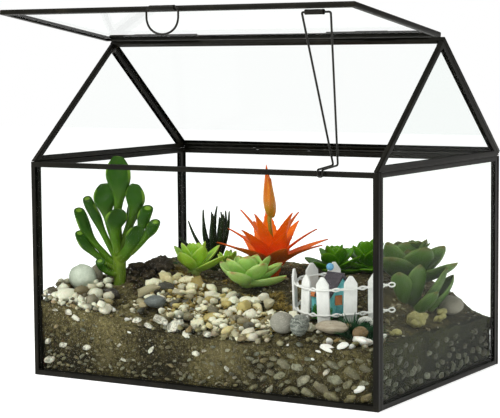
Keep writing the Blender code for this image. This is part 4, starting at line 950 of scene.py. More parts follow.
def strew(heap, sizes, xs, ys, allowed):
    """Lays stones of each size at random wherever they are allowed."""
    rng = heap.rng
    for count, low, high, most, sink in sizes:
        laid = tries = 0
        while laid < count and tries < count * 14:
            tries += 1
            x, y = rng.uniform(*xs), rng.uniform(*ys)
            radius = rng.uniform(low, high)
            if allowed(x, y, radius):
                laid += heap.lay(x, y, radius, most, sink)


def make_path(models, material):
    """Gravel path: bigger pebbles first, then small ones between them."""
    def allowed(x, y, radius):
        return heap.rng.random() <= path_share(x, y) and in_box(x, y, radius * 1.35) \
            and clear_of(x, y, BIG_STONES, radius * 0.8)

    heap = Heap(models, 21)
    sizes = ((72, 2.8, 5.6, 5.0, 0.30), (105, 1.4, 2.6, 5.0, 0.25), (230, 0.6, 1.2, 4.0, 0.2))
    strew(heap, sizes, (-66, 72), (-85, -24), allowed)
    heap.gather("gravel_path", material, ("gravel_front",), 55)


def make_pile(models, material):
    """Larger mixed pebbles heaped in the left corner."""
    def allowed(x, y, radius):
        from_corner = math.hypot((x + 122) / 46, (y + 86) / 36)
        return from_corner + 0.2 * noise.noise(Vector((x * 0.08, y * 0.08, 2.0))) <= 1.05 \
            and in_box(x, y, radius * 1.35) and clear_of(x, y, BIG_STONES, radius * 0.75) \
            and clear_of(x, y, PLANT_SPOTS, radius * 0.9)

    heap = Heap(models, 34)
    sizes = ((60, 4.0, 6.8, 8.0, 0.3), (80, 2.0, 3.6, 8.0, 0.3), (150, 1.0, 1.8, 6.0, 0.3))
    strew(heap, sizes, (-122, -62), (-86, -34), allowed)
    heap.gather("pebble_pile", material, ("gravel_left",))


def glass_pebble(heap, side, along, z, radius, lot=None):
    """Pebble pressed on the inside of the glass."""
    rng = heap.rng
    wide, tall, deep = radius * rng.uniform(1.0, 1.4), radius * rng.uniform(0.75, 1.0), radius * 0.7
    turn = rng.uniform(-0.7, 0.7)
    sign = 1 if side == "right" else -1
    if side == "front":
        axis, wall = 1, GLASS_INNER_Y
        heap.put(moved((along, 0, z)) @ spun(turn, "Y") @ Matrix.Diagonal((wide, deep, tall, 1)), lot)
    else:
        axis, wall = 0, GLASS_INNER_X
        heap.put(moved((0, along, z)) @ spun(turn, "X") @ Matrix.Diagonal((deep, wide, tall, 1)), lot)
    mesh = heap.copies[-1].data
    shift = [0.0, 0.0, 0.0]
    shift[axis] = sign * (wall - 0.02 - max(sign * v.co[axis] for v in mesh.vertices))
    mesh.transform(moved(shift))


def make_glass_pebbles(models, mixed, dark):
    """Pebbles and grit in the soil that show through the walls."""
    heap = Heap(models, 55)
    rng = heap.rng
    spots = []
    for _ in range(1300):
        x = rng.uniform(-119, 119)
        top = ground(x, 0.5 - SOIL_Y) - 3.0
        z = 5.0 + (top - 5.0) * rng.random() ** 1.2
        crowd = 0.12 + 0.88 * smoothstep(x / 90) * smoothstep((36 - z) / 18)
        crowd = max(crowd, smoothstep((-92 - x) / 20) * smoothstep((24 - z) / 14))
        crowd = max(crowd, 0.36 * smoothstep((20 - z) / 10))
        if rng.random() < crowd:
            big = smoothstep((x - 15) / 60) * smoothstep((34 - z) / 14)
            spots.append((rng.uniform(0.7, 1.7) + 3.4 * big * rng.random() ** 1.1, x, z, None))
    spots += [(radius, x, z, 0.58) for x, z, radius in (
        (-104.3, 20.5, 2.6), (-117, 22, 2.4), (-85.5, 20.5, 2.4), (-116, 10, 3.6), (-35.6, 23, 2.2), (-2.2, 23.5, 2.2),
        (110, 13.4, 4.2), (61, 11.6, 3.0), (72.7, 9, 2.6), (-60, 24, 1.6), (20, 16, 1.8), (40, 8, 1.8), (118, 8, 2.0),
        (-110.3, 43, 4.4), (-99.5, 42.5, 3.4), (-93.8, 39, 2.6), (-46.4, 41, 2.8), (-28.9, 42, 4.2), (-19, 39, 4.4),
        (-9.2, 34.4, 3.2), (6, 36, 2.6), (-38, 38, 2.2))]
    taken = []
    for radius, x, z, lot in sorted(spots, key=lambda spot: -spot[0]):
        if all(math.hypot(x - tx, z - tz) > 0.95 * (radius + tr) for tx, tz, tr in taken):
            taken.append((x, z, radius))
            glass_pebble(heap, "front", x, z, radius, lot)
    for _ in range(120):
        y = rng.uniform(-83, 83)
        top = ground(-120.0, y) - 3.0
        glass_pebble(heap, "left", y, 5.0 + (top - 5.0) * rng.random(), rng.uniform(0.8, 2.4))
    heap.gather("pebbles_at_glass", mixed)
    heap = Heap(models, 56)
    taken = []
    for radius in sorted((heap.rng.uniform(0.8, 3.6) for _ in range(520)), reverse=True):
        y = heap.rng.uniform(-83, 83)
        top = ground(120.0, y) - 3.0
        z = 5.0 + (top - 5.0) * heap.rng.random() ** 1.2
        if heap.rng.random() < 0.2 + 0.4 * smoothstep((26 - z) / 16) and \
                all(math.hypot(y - ty, z - tz) > radius + tr for ty, tz, tr in taken):
            taken.append((y, z, radius))
            glass_pebble(heap, "right", y, z, radius)
    heap.gather("pebbles_at_end", dark)


def make_clods(models, material):
    """Dark crumbs of soil round the trunk and under the lime rosette."""
    heap = Heap(models, 63)
    rng = heap.rng
    for count, low, high in ((60, 1.8, 3.6), (200, 0.8, 1.8)):
        for _ in range(count):
            x, y = rng.gauss(-70, 10), rng.gauss(-30, 9)
            radius = rng.uniform(low, high)
            if clear_of(x, y, BIG_STONES, radius * 0.8) and clear_of(x, y, PLANT_SPOTS, radius * 0.7):
                heap.lay(x, y, radius, 4.5, 0.35)
    heap.gather("clods", material)


def make_scatter(models, chips, pebbles, white):
    """Loose grit over the bed, and white chips at the right of the path."""
    heap = Heap(models, 77)
    rng = heap.rng
    for _ in range(900):
        x, y = rng.uniform(-119, 119), rng.uniform(-84, 84)
        radius = 0.45 + 1.1 * rng.random() ** 3
        if clear_of(x, y, BIG_STONES, radius) and path_share(x, y) < 0.5:
            heap.lay(x, y, radius, 2.5, 0.35)
    for x, y, radius in ((70, -83.5, 1.7), (56, -82.5, 2.2), (79, -80.5, 1.5), (46, -81, 1.8), (92, -77, 1.6),
                         (73.5, -79, 1.8), (86, -79.5, 2.4), (35, -79, 3.6), (104, -77, 2.0)):
        heap.lay(x, y, radius, 4.0, 0.2)
    for _ in range(170):
        x, y = rng.uniform(-119, 119), -84.5 + 26 * rng.random() ** 1.6
        radius = rng.uniform(1.1, 2.5)
        if clear_of(x, y, BIG_STONES, radius) and in_box(x, y, radius * 1.3):
            heap.lay(x, y, radius, 3.5, 0.45)
    heap.gather("loose_grit", pebbles)
    shards = Heap(chips, 91)
    for x, y, radius in ((88.0, -80.0, 3.6), (107, -71.5, 5.2), (103.5, -81, 2.4), (113, -60, 2.6), (-72, -74, 2.2),
                         (-58, -80, 1.6), (62, -84.3, 1.2)):
        shards.lay(x, y, radius, 5.0, 0.2)
    for x, z, radius in ((90.2, 34.2, 3.9), (100.0, 36.9, 3.0), (111, 12, 3.2), (80, 27, 1.3), (113, 41.2, 2.9),
                         (84, 32, 1.4), (-52, 33, 1.2)):
        glass_pebble(shards, "front", x, z, radius)
    shards.gather("white_chips", white, (), 30)


def natural_stone(node, levels=2, lump=0.35, lump_size=3.0, grow=1.02):
    """The solid's stone made smooth, with hollows and bumps of its own."""
    stone = smoothed(solid_copy(node, 0.1), levels)
    centre = middle_of(stone)
    for vert in stone.data.vertices:
        out = vert.co - centre
        bump = lump * (noise.noise(vert.co / lump_size) + 0.5 * noise.noise(vert.co / (lump_size * 0.4)))
        vert.co = centre + out * grow + out.normalized() * bump
    return stone


def make_stone(node, name, dark, light, vein, vein_share, size, band=0.0, rough=0.6, smooth=None, **form):
    look = stone_look(name, dark, light, vein, vein_share, size, band, rough)
    finished(natural_stone(node, **form), f"{node}_fine", look, "case", smooth, (node,))
    return look


def make_stones(models):
    """Each loose stone in its own colours."""
    make_stone("boulder_white", "stone_white_green", (0.38, 0.44, 0.34), (0.66, 0.71, 0.60), (0.80, 0.83, 0.74),
               0.3, 5.0, grow=1.12)
    make_stone("stone_slate", "slate_blue_grey", (0.075, 0.088, 0.088), (0.17, 0.19, 0.18), (0.30, 0.31, 0.29),
               0.4, 3.0)
    make_stone("stone_grey", "river_grey", (0.20, 0.19, 0.155), (0.37, 0.355, 0.30), (0.50, 0.47, 0.40), 0.35, 4.0)
    make_stone("stone_green", "marbled_dark", (0.045, 0.055, 0.045), (0.15, 0.165, 0.14), (0.42, 0.43, 0.38),
               0.9, 3.2, 0.35)
    make_stone("stone_beige", "long_beige", (0.34, 0.28, 0.20), (0.52, 0.46, 0.36), (0.24, 0.19, 0.13), 0.3, 3.6, 0.4)
    make_stone("stone_brown", "brown_stone", (0.13, 0.075, 0.030), (0.30, 0.20, 0.09), (0.40, 0.30, 0.16), 0.4, 2.6)
    make_stone("stone_right", "grey_brown", (0.17, 0.15, 0.115), (0.34, 0.31, 0.25), (0.45, 0.41, 0.33), 0.3, 3.6)
    ochre = make_stone("stone_ochre", "ochre_stone", (0.19, 0.17, 0.050), (0.42, 0.39, 0.15), (0.55, 0.52, 0.26),
                       0.3, 3.0, levels=3, lump=1.9, lump_size=5.0, grow=1.05)
    lumps = Heap(models, 83)
    for x, y, radius in ((113, -12, 4.6), (114, -6, 3.4), (114.5, -18, 2.6), (113, 19, 2.8), (115.5, 22, 2.4),
                         (113.5, 24.5, 2.8), (116, 17, 1.9), (116, -46, 2.6), (114.5, -50, 2.0), (112, -1, 2.2)):
        lumps.lay(x, y, radius, 14.0, -0.1, 1.0)
    lumps.gather("ochre_lumps", ochre)
    make_stone("rock_dark", "clod_dark", (0.016, 0.013, 0.010), (0.085, 0.066, 0.042), (0.12, 0.10, 0.07), 0.2, 2.0,
               rough=0.95, smooth=50, levels=3, lump=1.5, lump_size=2.6, grow=1.0)


# Leaves

def grow_leaf(sections, sides=8, hollow=0.5, keel=0.0):
    """Leaf drawn out ring by ring along +Y.

    sections: step, climb in degrees, half width and half thickness, from root to tip
    """
    leaf = start(bpy.ops.mesh.primitive_circle_add, True, vertices=sides, radius=1.0, fill_type="NGON",
                 rotation=(math.pi / 2, 0, 0))
    edit(leaf)
    place = Vector((0, 0, 0))
    _, climb, wide, thick = sections[0]
    pick(leaf, "verts", lambda v: abs(v.co.x) > 0.6)
    bpy.ops.transform.translate(value=(0, 0, hollow))
    if keel:
        pick(leaf, "verts", lambda v: abs(v.co.x) < 0.2 and v.co.z < 0)
        bpy.ops.transform.translate(value=(0, 0, -keel))
    bpy.ops.mesh.select_all(action="SELECT")
    bpy.ops.transform.resize(value=(wide, 1, thick), center_override=place)
    bpy.ops.transform.rotate(value=-math.radians(climb), orient_axis="X", center_override=place)
    was_wide, was_thick, was = wide, thick, math.radians(climb)
    for step, climb, wide, thick in sections[1:]:
        now = math.radians(climb)
        ahead = Vector((0, math.cos(was), math.sin(was))) * step
        extrude(*ahead)
        place = place + ahead
        turned = [list(row) for row in Matrix.Rotation(was, 3, "X").transposed()]
        bpy.ops.transform.resize(value=(wide / was_wide, 1, thick / was_thick), orient_type="GLOBAL",
                                 orient_matrix=turned, orient_matrix_type="GLOBAL", center_override=place)
        bpy.ops.transform.rotate(value=-(now - was), orient_axis="X", center_override=place)
        was_wide, was_thick, was = wide, thick, now
    end_outward()
    reach = sum(s[0] for s in sections[1:])
    along, walked = [], 0.0
    for index, section in enumerate(sections):
        walked += section[0] if index else 0.0
        along += [walked / reach] * sides
    mark(leaf, "along", along)
    mark(leaf, "rim", [abs(math.sin(math.tau * k / sides)) for k in range(sides)] * len(sections))
    return leaf


def leaf_sections(length, pitches, widths, thicks, steps, teeth=0.0):
    """Rings of a leaf from its root to its tip, closest where it closes."""
    stops = [i / steps for i in range(steps)] + [1.0 - 0.35 / steps, 1.0]
    sections = []
    before = 0.0
    for index, along in enumerate(stops):
        width = interpolate(widths, along) / 2
        thick = interpolate(thicks, along) / 2
        if teeth and index % 2 and along < 0.95:
            width *= 1 - teeth
        if along == 1.0:
            width, thick = width * 0.25, thick * 0.3
        climb = pitches[0] + (pitches[1] - pitches[0]) * along
        sections.append(((along - before) * length, climb, max(width, 0.15), max(thick, 0.1)))
        before = along
    return sections


def set_leaf(model, root, azimuth, own, tilt=0.0, stretch=(1, 1)):
    """Copy of a leaf turned to its azimuth, with small differences of its own."""
    aim = spun(azimuth - math.pi / 2, "Z") @ spun(math.radians(tilt), "X") @ spun(math.radians(own.uniform(-5, 5)), "Y")
    leaf = twin(model, moved(root) @ aim @ Matrix.Diagonal((*stretch, 1.0, 1.0)))
    tint(leaf, lot=own.random())
    return leaf


def lone_leaf(root, azimuth, own, sections, sides=8, hollow=0.0, keel=0.0, levels=1):
    """Leaf that is grown for one place only."""
    leaf = grow_leaf(sections, sides, hollow, keel)
    if levels:
        smoothed(leaf, levels)
    copy = set_leaf(leaf, root, azimuth, own)
    drop(leaf)
    return copy


def make_rosette(name, place, seat, count, length, width, thick, pitch, cup, shrink, material, point, turn,
                 core, stem, tip_width, buds, sides=8, skirt=0):
    """Spiral of leaves on the solid's own rule, with a bud of small leaves at the heart."""
    rule = random.Random(1)
    own = random.Random(len(name) * 7)
    x, y = place
    leaves = []
    models = {}
    kinds = 5
    for i in range(count + buds):
        if i < count:
            inner = i / (count - 1)
            jog, reach_jog = rule.uniform(-0.06, 0.06), rule.uniform(0.94, 1.04)
            tilt = pitch[0] + (pitch[1] - pitch[0]) * inner
            size = (1 - inner) + shrink * inner
            rise = 0.0
        else:
            inner = 1.0
            step = (i - count + 1) / (buds + 1)
            jog, reach_jog = 0.0, 1.0
            tilt = pitch[1] + (86 - pitch[1]) * step
            size = shrink * (1 - 0.55 * step)
            rise = 1.5 * (i - count + 1) / buds
        reach = length * size * reach_jog
        wide = width * (0.55 + 0.45 * size)
        kind = min(int(inner * kinds), kinds - 1)
        if kind not in models:
            widths = ((0.0, wide * 0.42), (0.35, wide * 0.80), (0.62, wide * 1.02), (0.82, wide * (0.80 - point)),
                      (0.93, wide * (0.46 - point * 0.7)), (1.0, wide * tip_width))
            thicks = ((0.0, thick * 0.95), (0.5, thick * 1.05), (0.85, thick * 0.7), (1.0, 0.7))
            model = grow_leaf(leaf_sections(reach, (-9, 18), widths, thicks, 7), sides, 2.0 * cup * size / thick, 0.25)
            models[kind] = (smoothed(model, 2), reach, wide)
        model, model_reach, model_wide = models[kind]
        leaves.append(set_leaf(model, (x, y, seat + thick * 0.5 + 2.2 * inner + rise), turn + i * GOLDEN_ANGLE + jog,
                               own, tilt, (wide / model_wide, reach / model_reach)))
    for k in range(skirt):
        # Old leaves that lie round the foot
        azimuth = math.tau * (k + own.uniform(-0.3, 0.3)) / skirt
        leaves.append(set_leaf(models[0][0], (x, y, seat + own.uniform(0.0, 1.5)), azimuth, own,
                               stretch=(1.0, own.uniform(0.85, 1.1)), tilt=own.uniform(0, 22)))
    leaves.append(plant_stem(x, y, core[0], seat, core[1], stem))
    piece = joined(leaves, name)
    drop(*[m[0] for m in models.values()])
    finished(piece, f"{name}_leaves", material, "case", None, (name,))


def plant_stem(x, y, radius, seat, height, stem):
    """Core and short stem from under the soil's face to the heart."""
    bottom = ground(x, y) - STEM_BURIED
    core = start(bpy.ops.mesh.primitive_cylinder_add, vertices=14, radius=stem, depth=1.0, end_fill_type="NGON")
    edit(core, "FACE")
    pick(core, "faces", lambda f: f.normal.z > 0.9)
    bpy.ops.mesh.inset(thickness=0.001)
    bpy.ops.transform.resize(value=(radius / stem, radius / stem, 1.0))
    for scale, rise in ((1.0, 0.45), (0.7, 0.35), (0.35, 0.18)):
        extrude(0, 0, rise * height)
        bpy.ops.transform.resize(value=(scale, scale, 1.0))
    let_go()
    for vert in core.data.vertices:
        if vert.co.z < 0:
            vert.co.z = bottom - seat + 0.5
    core.data.transform(moved((x, y, seat)))
    smoothed(core, 1)
    tint(core, along=0.0, rim=0.0, lot=0.2)
    return core


def make_rosettes():
    lime = leaf_look("lime_leaf", (0.50, 0.66, 0.18), (0.38, 0.66, 0.05), (0.46, 0.46, 0.08), (0.62, 0.80, 0.22),
                     0.55, 0.5, 0.32, gloss=0.2, glow=0.2, tip_from=0.96)
    blue = leaf_look("echeveria_leaf", (0.36, 0.54, 0.10), (0.36, 0.60, 0.12), (0.46, 0.12, 0.05),
                     (0.56, 0.74, 0.28), 0.5, 0.85, 0.36, bloom=0.10, gloss=0.2, glow=0.2, vary=0.3, tip_from=0.93)
    dark = leaf_look("dark_rosette_leaf", (0.07, 0.20, 0.004), (0.075, 0.25, 0.003), (0.15, 0.36, 0.01),
                     (0.17, 0.42, 0.012), 0.5, 0.4, 0.28, gloss=0.15)
    grey = leaf_look("grey_echeveria_leaf", (0.075, 0.13, 0.012), (0.060, 0.135, 0.012), (0.16, 0.085, 0.03),
                     (0.16, 0.26, 0.06), 0.5, 0.5, 0.38, bloom=0.05, gloss=0.18, vary=0.35)
    make_rosette("rosette_lime_large", (-52.0, -9.0), 60.755, 11, 27.5, 15.5, 3.0, (24, 76), 2.0, 0.68, lime,
                 0.16, 0.0, (5.0, 6.0), 2.6, 0.08, 6)
    make_rosette("rosette_lime_small", (-41.0, 17.0), 63.426, 9, 13.5, 7.6, 2.2, (24, 76), 1.2, 0.66, lime,
                 0.16, 0.5, (3.0, 4.0), 2.0, 0.08, 6)
    make_rosette("echeveria", (-5.0, -17.0), 56.647, 15, 29.5, 18.5, 3.8, (10, 76), 2.8, 0.56, blue,
                 0.0, 0.0, (7.0, 7.0), 3.0, 0.05, 8, sides=10)
    make_rosette("rosette_dark_left", (23.0, 50.0), 59.651, 9, 22.5, 15.0, 3.0, (26, 70), 1.8, 0.72, dark,
                 0.04, 0.0, (4.5, 9.0), 2.4, 0.24, 7, skirt=6)
    make_rosette("rosette_dark_right", (40.0, 66.0), 60.234, 9, 23.0, 16.0, 3.0, (30, 70), 1.8, 0.8, dark,
                 0.04, 0.8, (4.5, 9.0), 2.4, 0.24, 7, skirt=6)
    make_rosette("echeveria_grey", (80.0, 43.0), 55.251, 12, 39.0, 28.0, 4.2, (20, 78), 3.6, 0.66, grey,
                 0.0, 0.0, (8.0, 12.0), 3.2, 0.2, 8, sides=10)
    make_lower_leaves(grey)


def make_lower_leaves(material):
    """Upright leaves in front of the grey echeveria, and the small offset over it."""
    own = random.Random(29)
    parts = []
    # Place, azimuth and climb in degrees, length and width
    for x, y, azimuth, climb, length, width in (
            (96.0, 27.0, 20.0, 58.0, 34.0, 19.0), (92.0, 26.0, -30.0, 70.0, 31.0, 17.0),
            (99.0, 33.0, 48.0, 52.0, 30.0, 17.0), (88.0, 22.0, -80.0, 60.0, 26.0, 16.0),
            (90.0, 30.0, 120.0, 80.0, 36.0, 18.0), (97.0, 22.0, -12.0, 44.0, 22.0, 14.0)):
        widths = ((0.0, width * 0.45), (0.4, width * 0.85), (0.68, width), (0.86, width * 0.72), (1.0, width * 0.1))
        thicks = ((0.0, 4.6), (0.5, 4.4), (0.85, 2.8), (1.0, 0.7))
        parts.append(lone_leaf((x, y, ground(x, y) - 1.5), math.radians(azimuth), own,
                               leaf_sections(length, (climb - 12, climb + 14), widths, thicks, 7), 10, 1.5, 0.3, 2))
    for k in range(9):
        sections = leaf_sections(12.5 * (1.0 - 0.05 * k), (26 + 5 * k, 50 + 5 * k),
                                 ((0.0, 3.4), (0.6, 8.8), (0.85, 6.6), (1.0, 0.6)), ((0.0, 2.4), (1.0, 0.7)), 5)
        parts.append(lone_leaf((86.5, 44.0, 77.0), k * GOLDEN_ANGLE, own, sections, 8, 1.2))
    finished(joined(parts, "lower"), "echeveria_grey_lower", material, "case", None)


def bezier(a, b, c, d, t):
    u = 1 - t
    return a * u ** 3 + b * 3 * u * u * t + c * 3 * u * t * t + d * t ** 3


def spoon_leaf(root, knee, tip, radius, head, rng):
    """Tube leaf that opens to a dished spoon, drawn ring by ring along its own bend."""
    a, d = Vector(root), Vector(tip)
    b = a + (Vector(knee) - a) * 0.66
    c = d + (Vector(knee) - d) * 0.66
    steps, sides, flat = 13, 12, 0.55
    swing = rng.uniform(-0.5, 0.5)
    look = Vector((math.sin(0.53 + swing), -math.cos(0.53 + swing), 0.0))
    trumpet = 3.0 < head < 4.5
    leaf = start_face(sides, 1.0)
    for _ in range(steps):
        extrude(0, 0, 1.0)
    # The open end of the spoon is dished
    bpy.ops.mesh.inset(thickness=0.18)
    bpy.ops.mesh.inset(thickness=0.30)
    let_go()
    verts = leaf.data.vertices
    along, rim = [0.0] * len(verts), [0.0] * len(verts)
    body = sides * (steps + 1)
    for index, vert in enumerate(verts):
        ring = min(index // sides, steps)
        t = ring / steps
        point = bezier(a, b, c, d, t)
        ahead = (bezier(a, b, c, d, min(t + 0.02, 1.0)) - bezier(a, b, c, d, max(t - 0.02, 0.0))).normalized()
        swell = smoothstep((t - 0.54) / 0.28)
        close = math.sqrt(max(0.0, 1 - max(0.0, (t - 0.80) / 0.215) ** 2))
        if trumpet:
            # The end turns to the side and opens
            close = 1.0 - 0.12 * smoothstep((t - 0.9) / 0.1)
            nod = smoothstep((t - 0.78) / 0.22)
            point = point + look * (2.2 * nod)
            ahead = ahead.lerp((look + Vector((0, 0, 0.55))).normalized(), 0.8 * nod).normalized()
        side = ahead.cross(look + Vector((0, 0, 0.001))).normalized()
        if trumpet:
            side = ahead.cross(Vector((look.y, -look.x, 0))).cross(ahead).normalized() * -1.0
        up = side.cross(ahead)
        wide = (radius * 0.92 + (head * 1.12 - radius * 0.92) * swell) * close
        deep = (radius * 0.92 + (head * (0.85 if trumpet else flat) - radius * 0.92) * swell) * close
        u, v = vert.co.x, vert.co.y
        inside = math.hypot(u, v)
        # The near side of the head is hollow, most at its end
        dish = 0.0 if trumpet else smoothstep((t - 0.70) / 0.22) * 1.25
        if v > 0:
            v -= dish * (1 - u * u) * v
        sunk = (-3.2 if trumpet else -0.9) * (1.0 - inside) if index >= body else 0.0
        sway = Vector((noise.noise(point * 0.06 + Vector((9, 0, 0))), noise.noise(point * 0.06), 0)) * 2.6 * t
        vert.co = point + sway + side * (wide * u) + up * (deep * v) + ahead * sunk
        along[index] = t
        rim[index] = 0.3 if index >= body else 1.0 if t > 0.93 else abs(u) * swell
    mark(leaf, "along", along)
    mark(leaf, "rim", rim)
    tint(leaf, lot=rng.random())
    outward(leaf)
    return smoothed(leaf, 1)


def make_jade():
    """Finger-leaved jade: a short trunk with tube leaves that end in spoons."""
    x, y = -87.5, -45.0
    fork = Vector((x, y, 75.952))
    rng = random.Random(4)
    # Root over the fork, then the knee and tip from the fork, tube and head radius
    leaves = (
        ((0, 0, 0), (-4, 2, 30), (1, 0, 65), 3.2, 8.6),
        ((0, 0, 0), (-10, 0, 22), (-11, -3, 47), 3.0, 7.6),
        ((0, 0, 0), (9, 4, 24), (13, 3, 47), 2.8, 7.2),
        ((0, -1, 0), (-1, -6, 14), (4, -7, 31), 3.4, 7.4),
        ((0, 0, -3), (11, -3, 2), (18, -3, 20), 4.4, 6.0),
        ((8, -2, 1), (17, 0, 14), (22, 2, 32), 2.5, 4.2),
        ((9, -2, 1), (20, 1, 10), (28, 3, 23), 2.4, 3.8),
        ((0, 0, -6), (-13, 2, 8), (-21, -2, 37), 2.4, 3.6),
        ((0, 0, -8), (-17, -2, 0), (-29, -4, 29), 2.5, 4.0),
        ((0, -1, -10), (-15, -5, -5), (-27, -6, 14), 2.5, 3.8),
        ((0, -2, -12), (-6, -8, -13), (-9, -12, -3), 2.6, 3.4),
        ((0, 1, 0), (2, 10, 16), (4, 16, 38), 3.0, 5.0),
    )
    parts = [spoon_leaf(fork + Vector(root), fork + Vector(knee), fork + Vector(tip), radius, head, rng)
             for root, knee, tip, radius, head in leaves]
    bottom = ground(x, y) - STEM_BURIED
    tall = fork.z + 1 - bottom
    trunk = start(bpy.ops.mesh.primitive_cylinder_add, True, vertices=16, radius=5.0, depth=tall,
                  location=(x, y, (fork.z + 1 + bottom) / 2))
    edit(trunk, "EDGE")
    pick(trunk, "edges", lambda e: abs(e.verts[0].co.z - e.verts[1].co.z) > 5)
    bpy.ops.mesh.subdivide(number_cuts=9)
    let_go()
    for vert in trunk.data.vertices:
        out = Vector((vert.co.x - x, vert.co.y - y, 0))
        high = (vert.co.z - bottom) / tall
        waist = 1.0 - 0.16 * math.sin(math.pi * high) - 0.25 * smoothstep((high - 0.85) / 0.15)
        ripple = 1 + 0.06 * noise.noise(vert.co * 0.4)
        vert.co = Vector((x, y, vert.co.z)) + out * waist * ripple
    smoothed(trunk, 1)
    tint(trunk, along=0.1, rim=0.0, lot=0.5)
    parts.append(trunk)
    look = leaf_look("jade_green", (0.17, 0.25, 0.020), (0.060, 0.150, 0.005), (0.010, 0.055, 0.001),
                     (0.20, 0.36, 0.035), 0.8, 0.9, 0.30, gloss=0.12, glow=0.03, vary=0.55, spots=0.02,
                     tip_from=0.52, streak=0.45)
    finished(joined(parts, "jade"), "jade_plant", look, "case", None, ("jade",))


def make_aloe():
    """Dark blades with pale teeth along both edges."""
    x, y, seat = -62.0, 34.0, 58.955
    rule = random.Random(7)
    own = random.Random(8)
    # Azimuth, climb at the root and at the tip, and length
    blades = [(0, 62, 84, 44), (25, 70, 96, 42), (60, 66, 92, 43), (130, 64, 92, 42), (160, 72, 100, 46),
              (190, 66, 88, 44), (215, 50, 66, 40), (245, 58, 88, 36), (285, 64, 92, 40), (320, 58, 88, 43),
              (205, 34, 40, 36)]
    blades += [(own.uniform(0, 360), own.uniform(66, 80), own.uniform(86, 98), own.uniform(30, 40)) for _ in range(7)]
    widths = ((0.0, 8.6), (0.3, 7.2), (0.7, 4.6), (1.0, 0.6))
    thicks = ((0.0, 2.8), (0.5, 2.2), (1.0, 0.8))
    parts = []
    for degrees, low, high, length in blades:
        azimuth = math.radians(degrees + rule.uniform(-6, 6))
        sections = leaf_sections(length * 0.94, (low - 6, high + 10), widths, thicks, 22, 0.3)
        parts.append(lone_leaf((x, y, seat + 2.0), azimuth, own, sections, 8, 1.3, 0.3))
    parts.append(plant_stem(x, y, 5.0, seat, 6.0, 3.0))
    look = leaf_look("aloe_dark", (0.035, 0.06, 0.01), (0.008, 0.020, 0.003), (0.02, 0.02, 0.01),
                     (0.03, 0.050, 0.015), 0.5, 0.4, 0.45, gloss=0.15, glow=0.02, vary=0.3, spots=0.06)
    finished(joined(parts, "dark_aloe"), "dark_aloe_blades", look, "case", None, ("dark_aloe",))


def make_bromeliad():
    """Orange star of toothed leaves, and the flame of bracts at its heart."""
    x, y, seat = -12.0, 26.0, 57.741
    rule = random.Random(3)
    own = random.Random(5)
    thicks = ((0.0, 2.0), (0.5, 1.4), (1.0, 0.7))
    parts = []
    # Leaves in a tier, their climb at the root and at the tip, length, width and depth of the teeth
    for tier, (count, low, high, length, wide, teeth) in enumerate((
            (7, 20, 8, 44, 10.6, 0.10), (6, 36, 22, 42, 10.2, 0.18), (5, 54, 40, 40, 9.4, 0.28))):
        widths = ((0.0, wide * 1.6), (0.22, wide * 1.9), (0.5, wide * 1.5), (0.8, wide * 0.7), (1.0, 0.3))
        for k in range(count):
            azimuth = math.tau * (k + 0.35 * tier) / count + rule.uniform(-0.1, 0.1)
            reach = length * rule.uniform(0.92, 1.06)
            sections = leaf_sections(reach, (low + 12, high + 6), widths, thicks, 20, teeth)
            parts.append(lone_leaf((x, y, seat + 6.0 + 2 * tier), azimuth, own, sections, 8, 1.6, 0.2))
    parts.append(plant_stem(x, y, 6.0, seat + 2.0, 14.0, 3.6))
    look = leaf_look("bromeliad_orange", (0.78, 0.10, 0.004), (1.0, 0.175, 0.002), (0.30, 0.012, 0.002),
                     (0.80, 0.055, 0.001), 0.55, 0.7, 0.34, gloss=0.15, glow=0.08, vary=0.22, tip_from=0.86, streak=0.3)
    finished(joined(parts, "bromeliad"), "bromeliad_leaves", look, "case", None, ("bromeliad",))
    make_flame(x, y, seat + 19.0)


def make_flame(x, y, low):
    """Closed bud of three bracts round a spindle, on a stalk."""
    own = random.Random(15)
    bud_low, bud_high = low + 21.0, low + 57.0
    tall = bud_high - bud_low
    stalk = ((0.0, 3.4), (0.8, 2.6), (1.0, 3.4))
    parts = [lone_leaf((x, y, low), 0.0, own, leaf_sections(bud_low - low + 2.0, (90, 90), stalk, stalk, 4), levels=0)]
    tint(parts[0], along=0.0)
    swell = ((0.0, 3.0), (0.12, 7.4), (0.3, 9.6), (0.55, 7.0), (0.8, 3.2), (1.0, 0.5))
    parts.append(lone_leaf((x, y, bud_low), 0.0, own, leaf_sections(tall, (90, 90), swell, swell, 12)))
    widths = ((0.0, 4.0), (0.15, 8.4), (0.35, 9.6), (0.6, 6.8), (0.85, 2.8), (1.0, 0.5))
    thicks = ((0.0, 1.6), (0.5, 1.4), (1.0, 0.6))
    for k, share in enumerate((0.90, 0.78, 0.66)):
        azimuth = math.tau * k / 3 + 0.5
        root = (x + 0.4 * math.cos(azimuth), y + 0.4 * math.sin(azimuth), bud_low - 1.0)
        sections = leaf_sections(tall * share, (75, 108), widths, thicks, 12)
        parts.append(lone_leaf(root, azimuth, own, sections, 8, 2.8, 0.2))
    look = leaf_look("flame_orange", (0.28, 0.27, 0.012), (0.74, 0.25, 0.008), (0.66, 0.090, 0.004),
                     (0.50, 0.035, 0.003), 0.6, 0.7, 0.25, gloss=0.4, glow=0.08, vary=0.3, tip_from=0.62, streak=0.3)
    bud = joined(parts, "flame")
    # The stalk leans a little to the left
    foot = Vector((x, y, low))
    bud.data.transform(moved(foot) @ spun(math.radians(-3.0), (-0.5, 0.86, 0.0)) @ moved(-foot))
    finished(bud, "bromeliad_heart", look, "case", None, ("bromeliad_flame",))


# Fence, cottage and shelter

FENCE_FEET = ((62.0, -24.5, 48.713), (51.0, -32.0, 48.651), (45.5, -45.0, 46.152), (58.0, -55.5, 44.075),
              (73.0, -58.5, 43.716), (87.0, -51.5, 44.556), (98.5, -41.0, 45.526))
FENCE_END = (105.5, -36.0, 46.526)


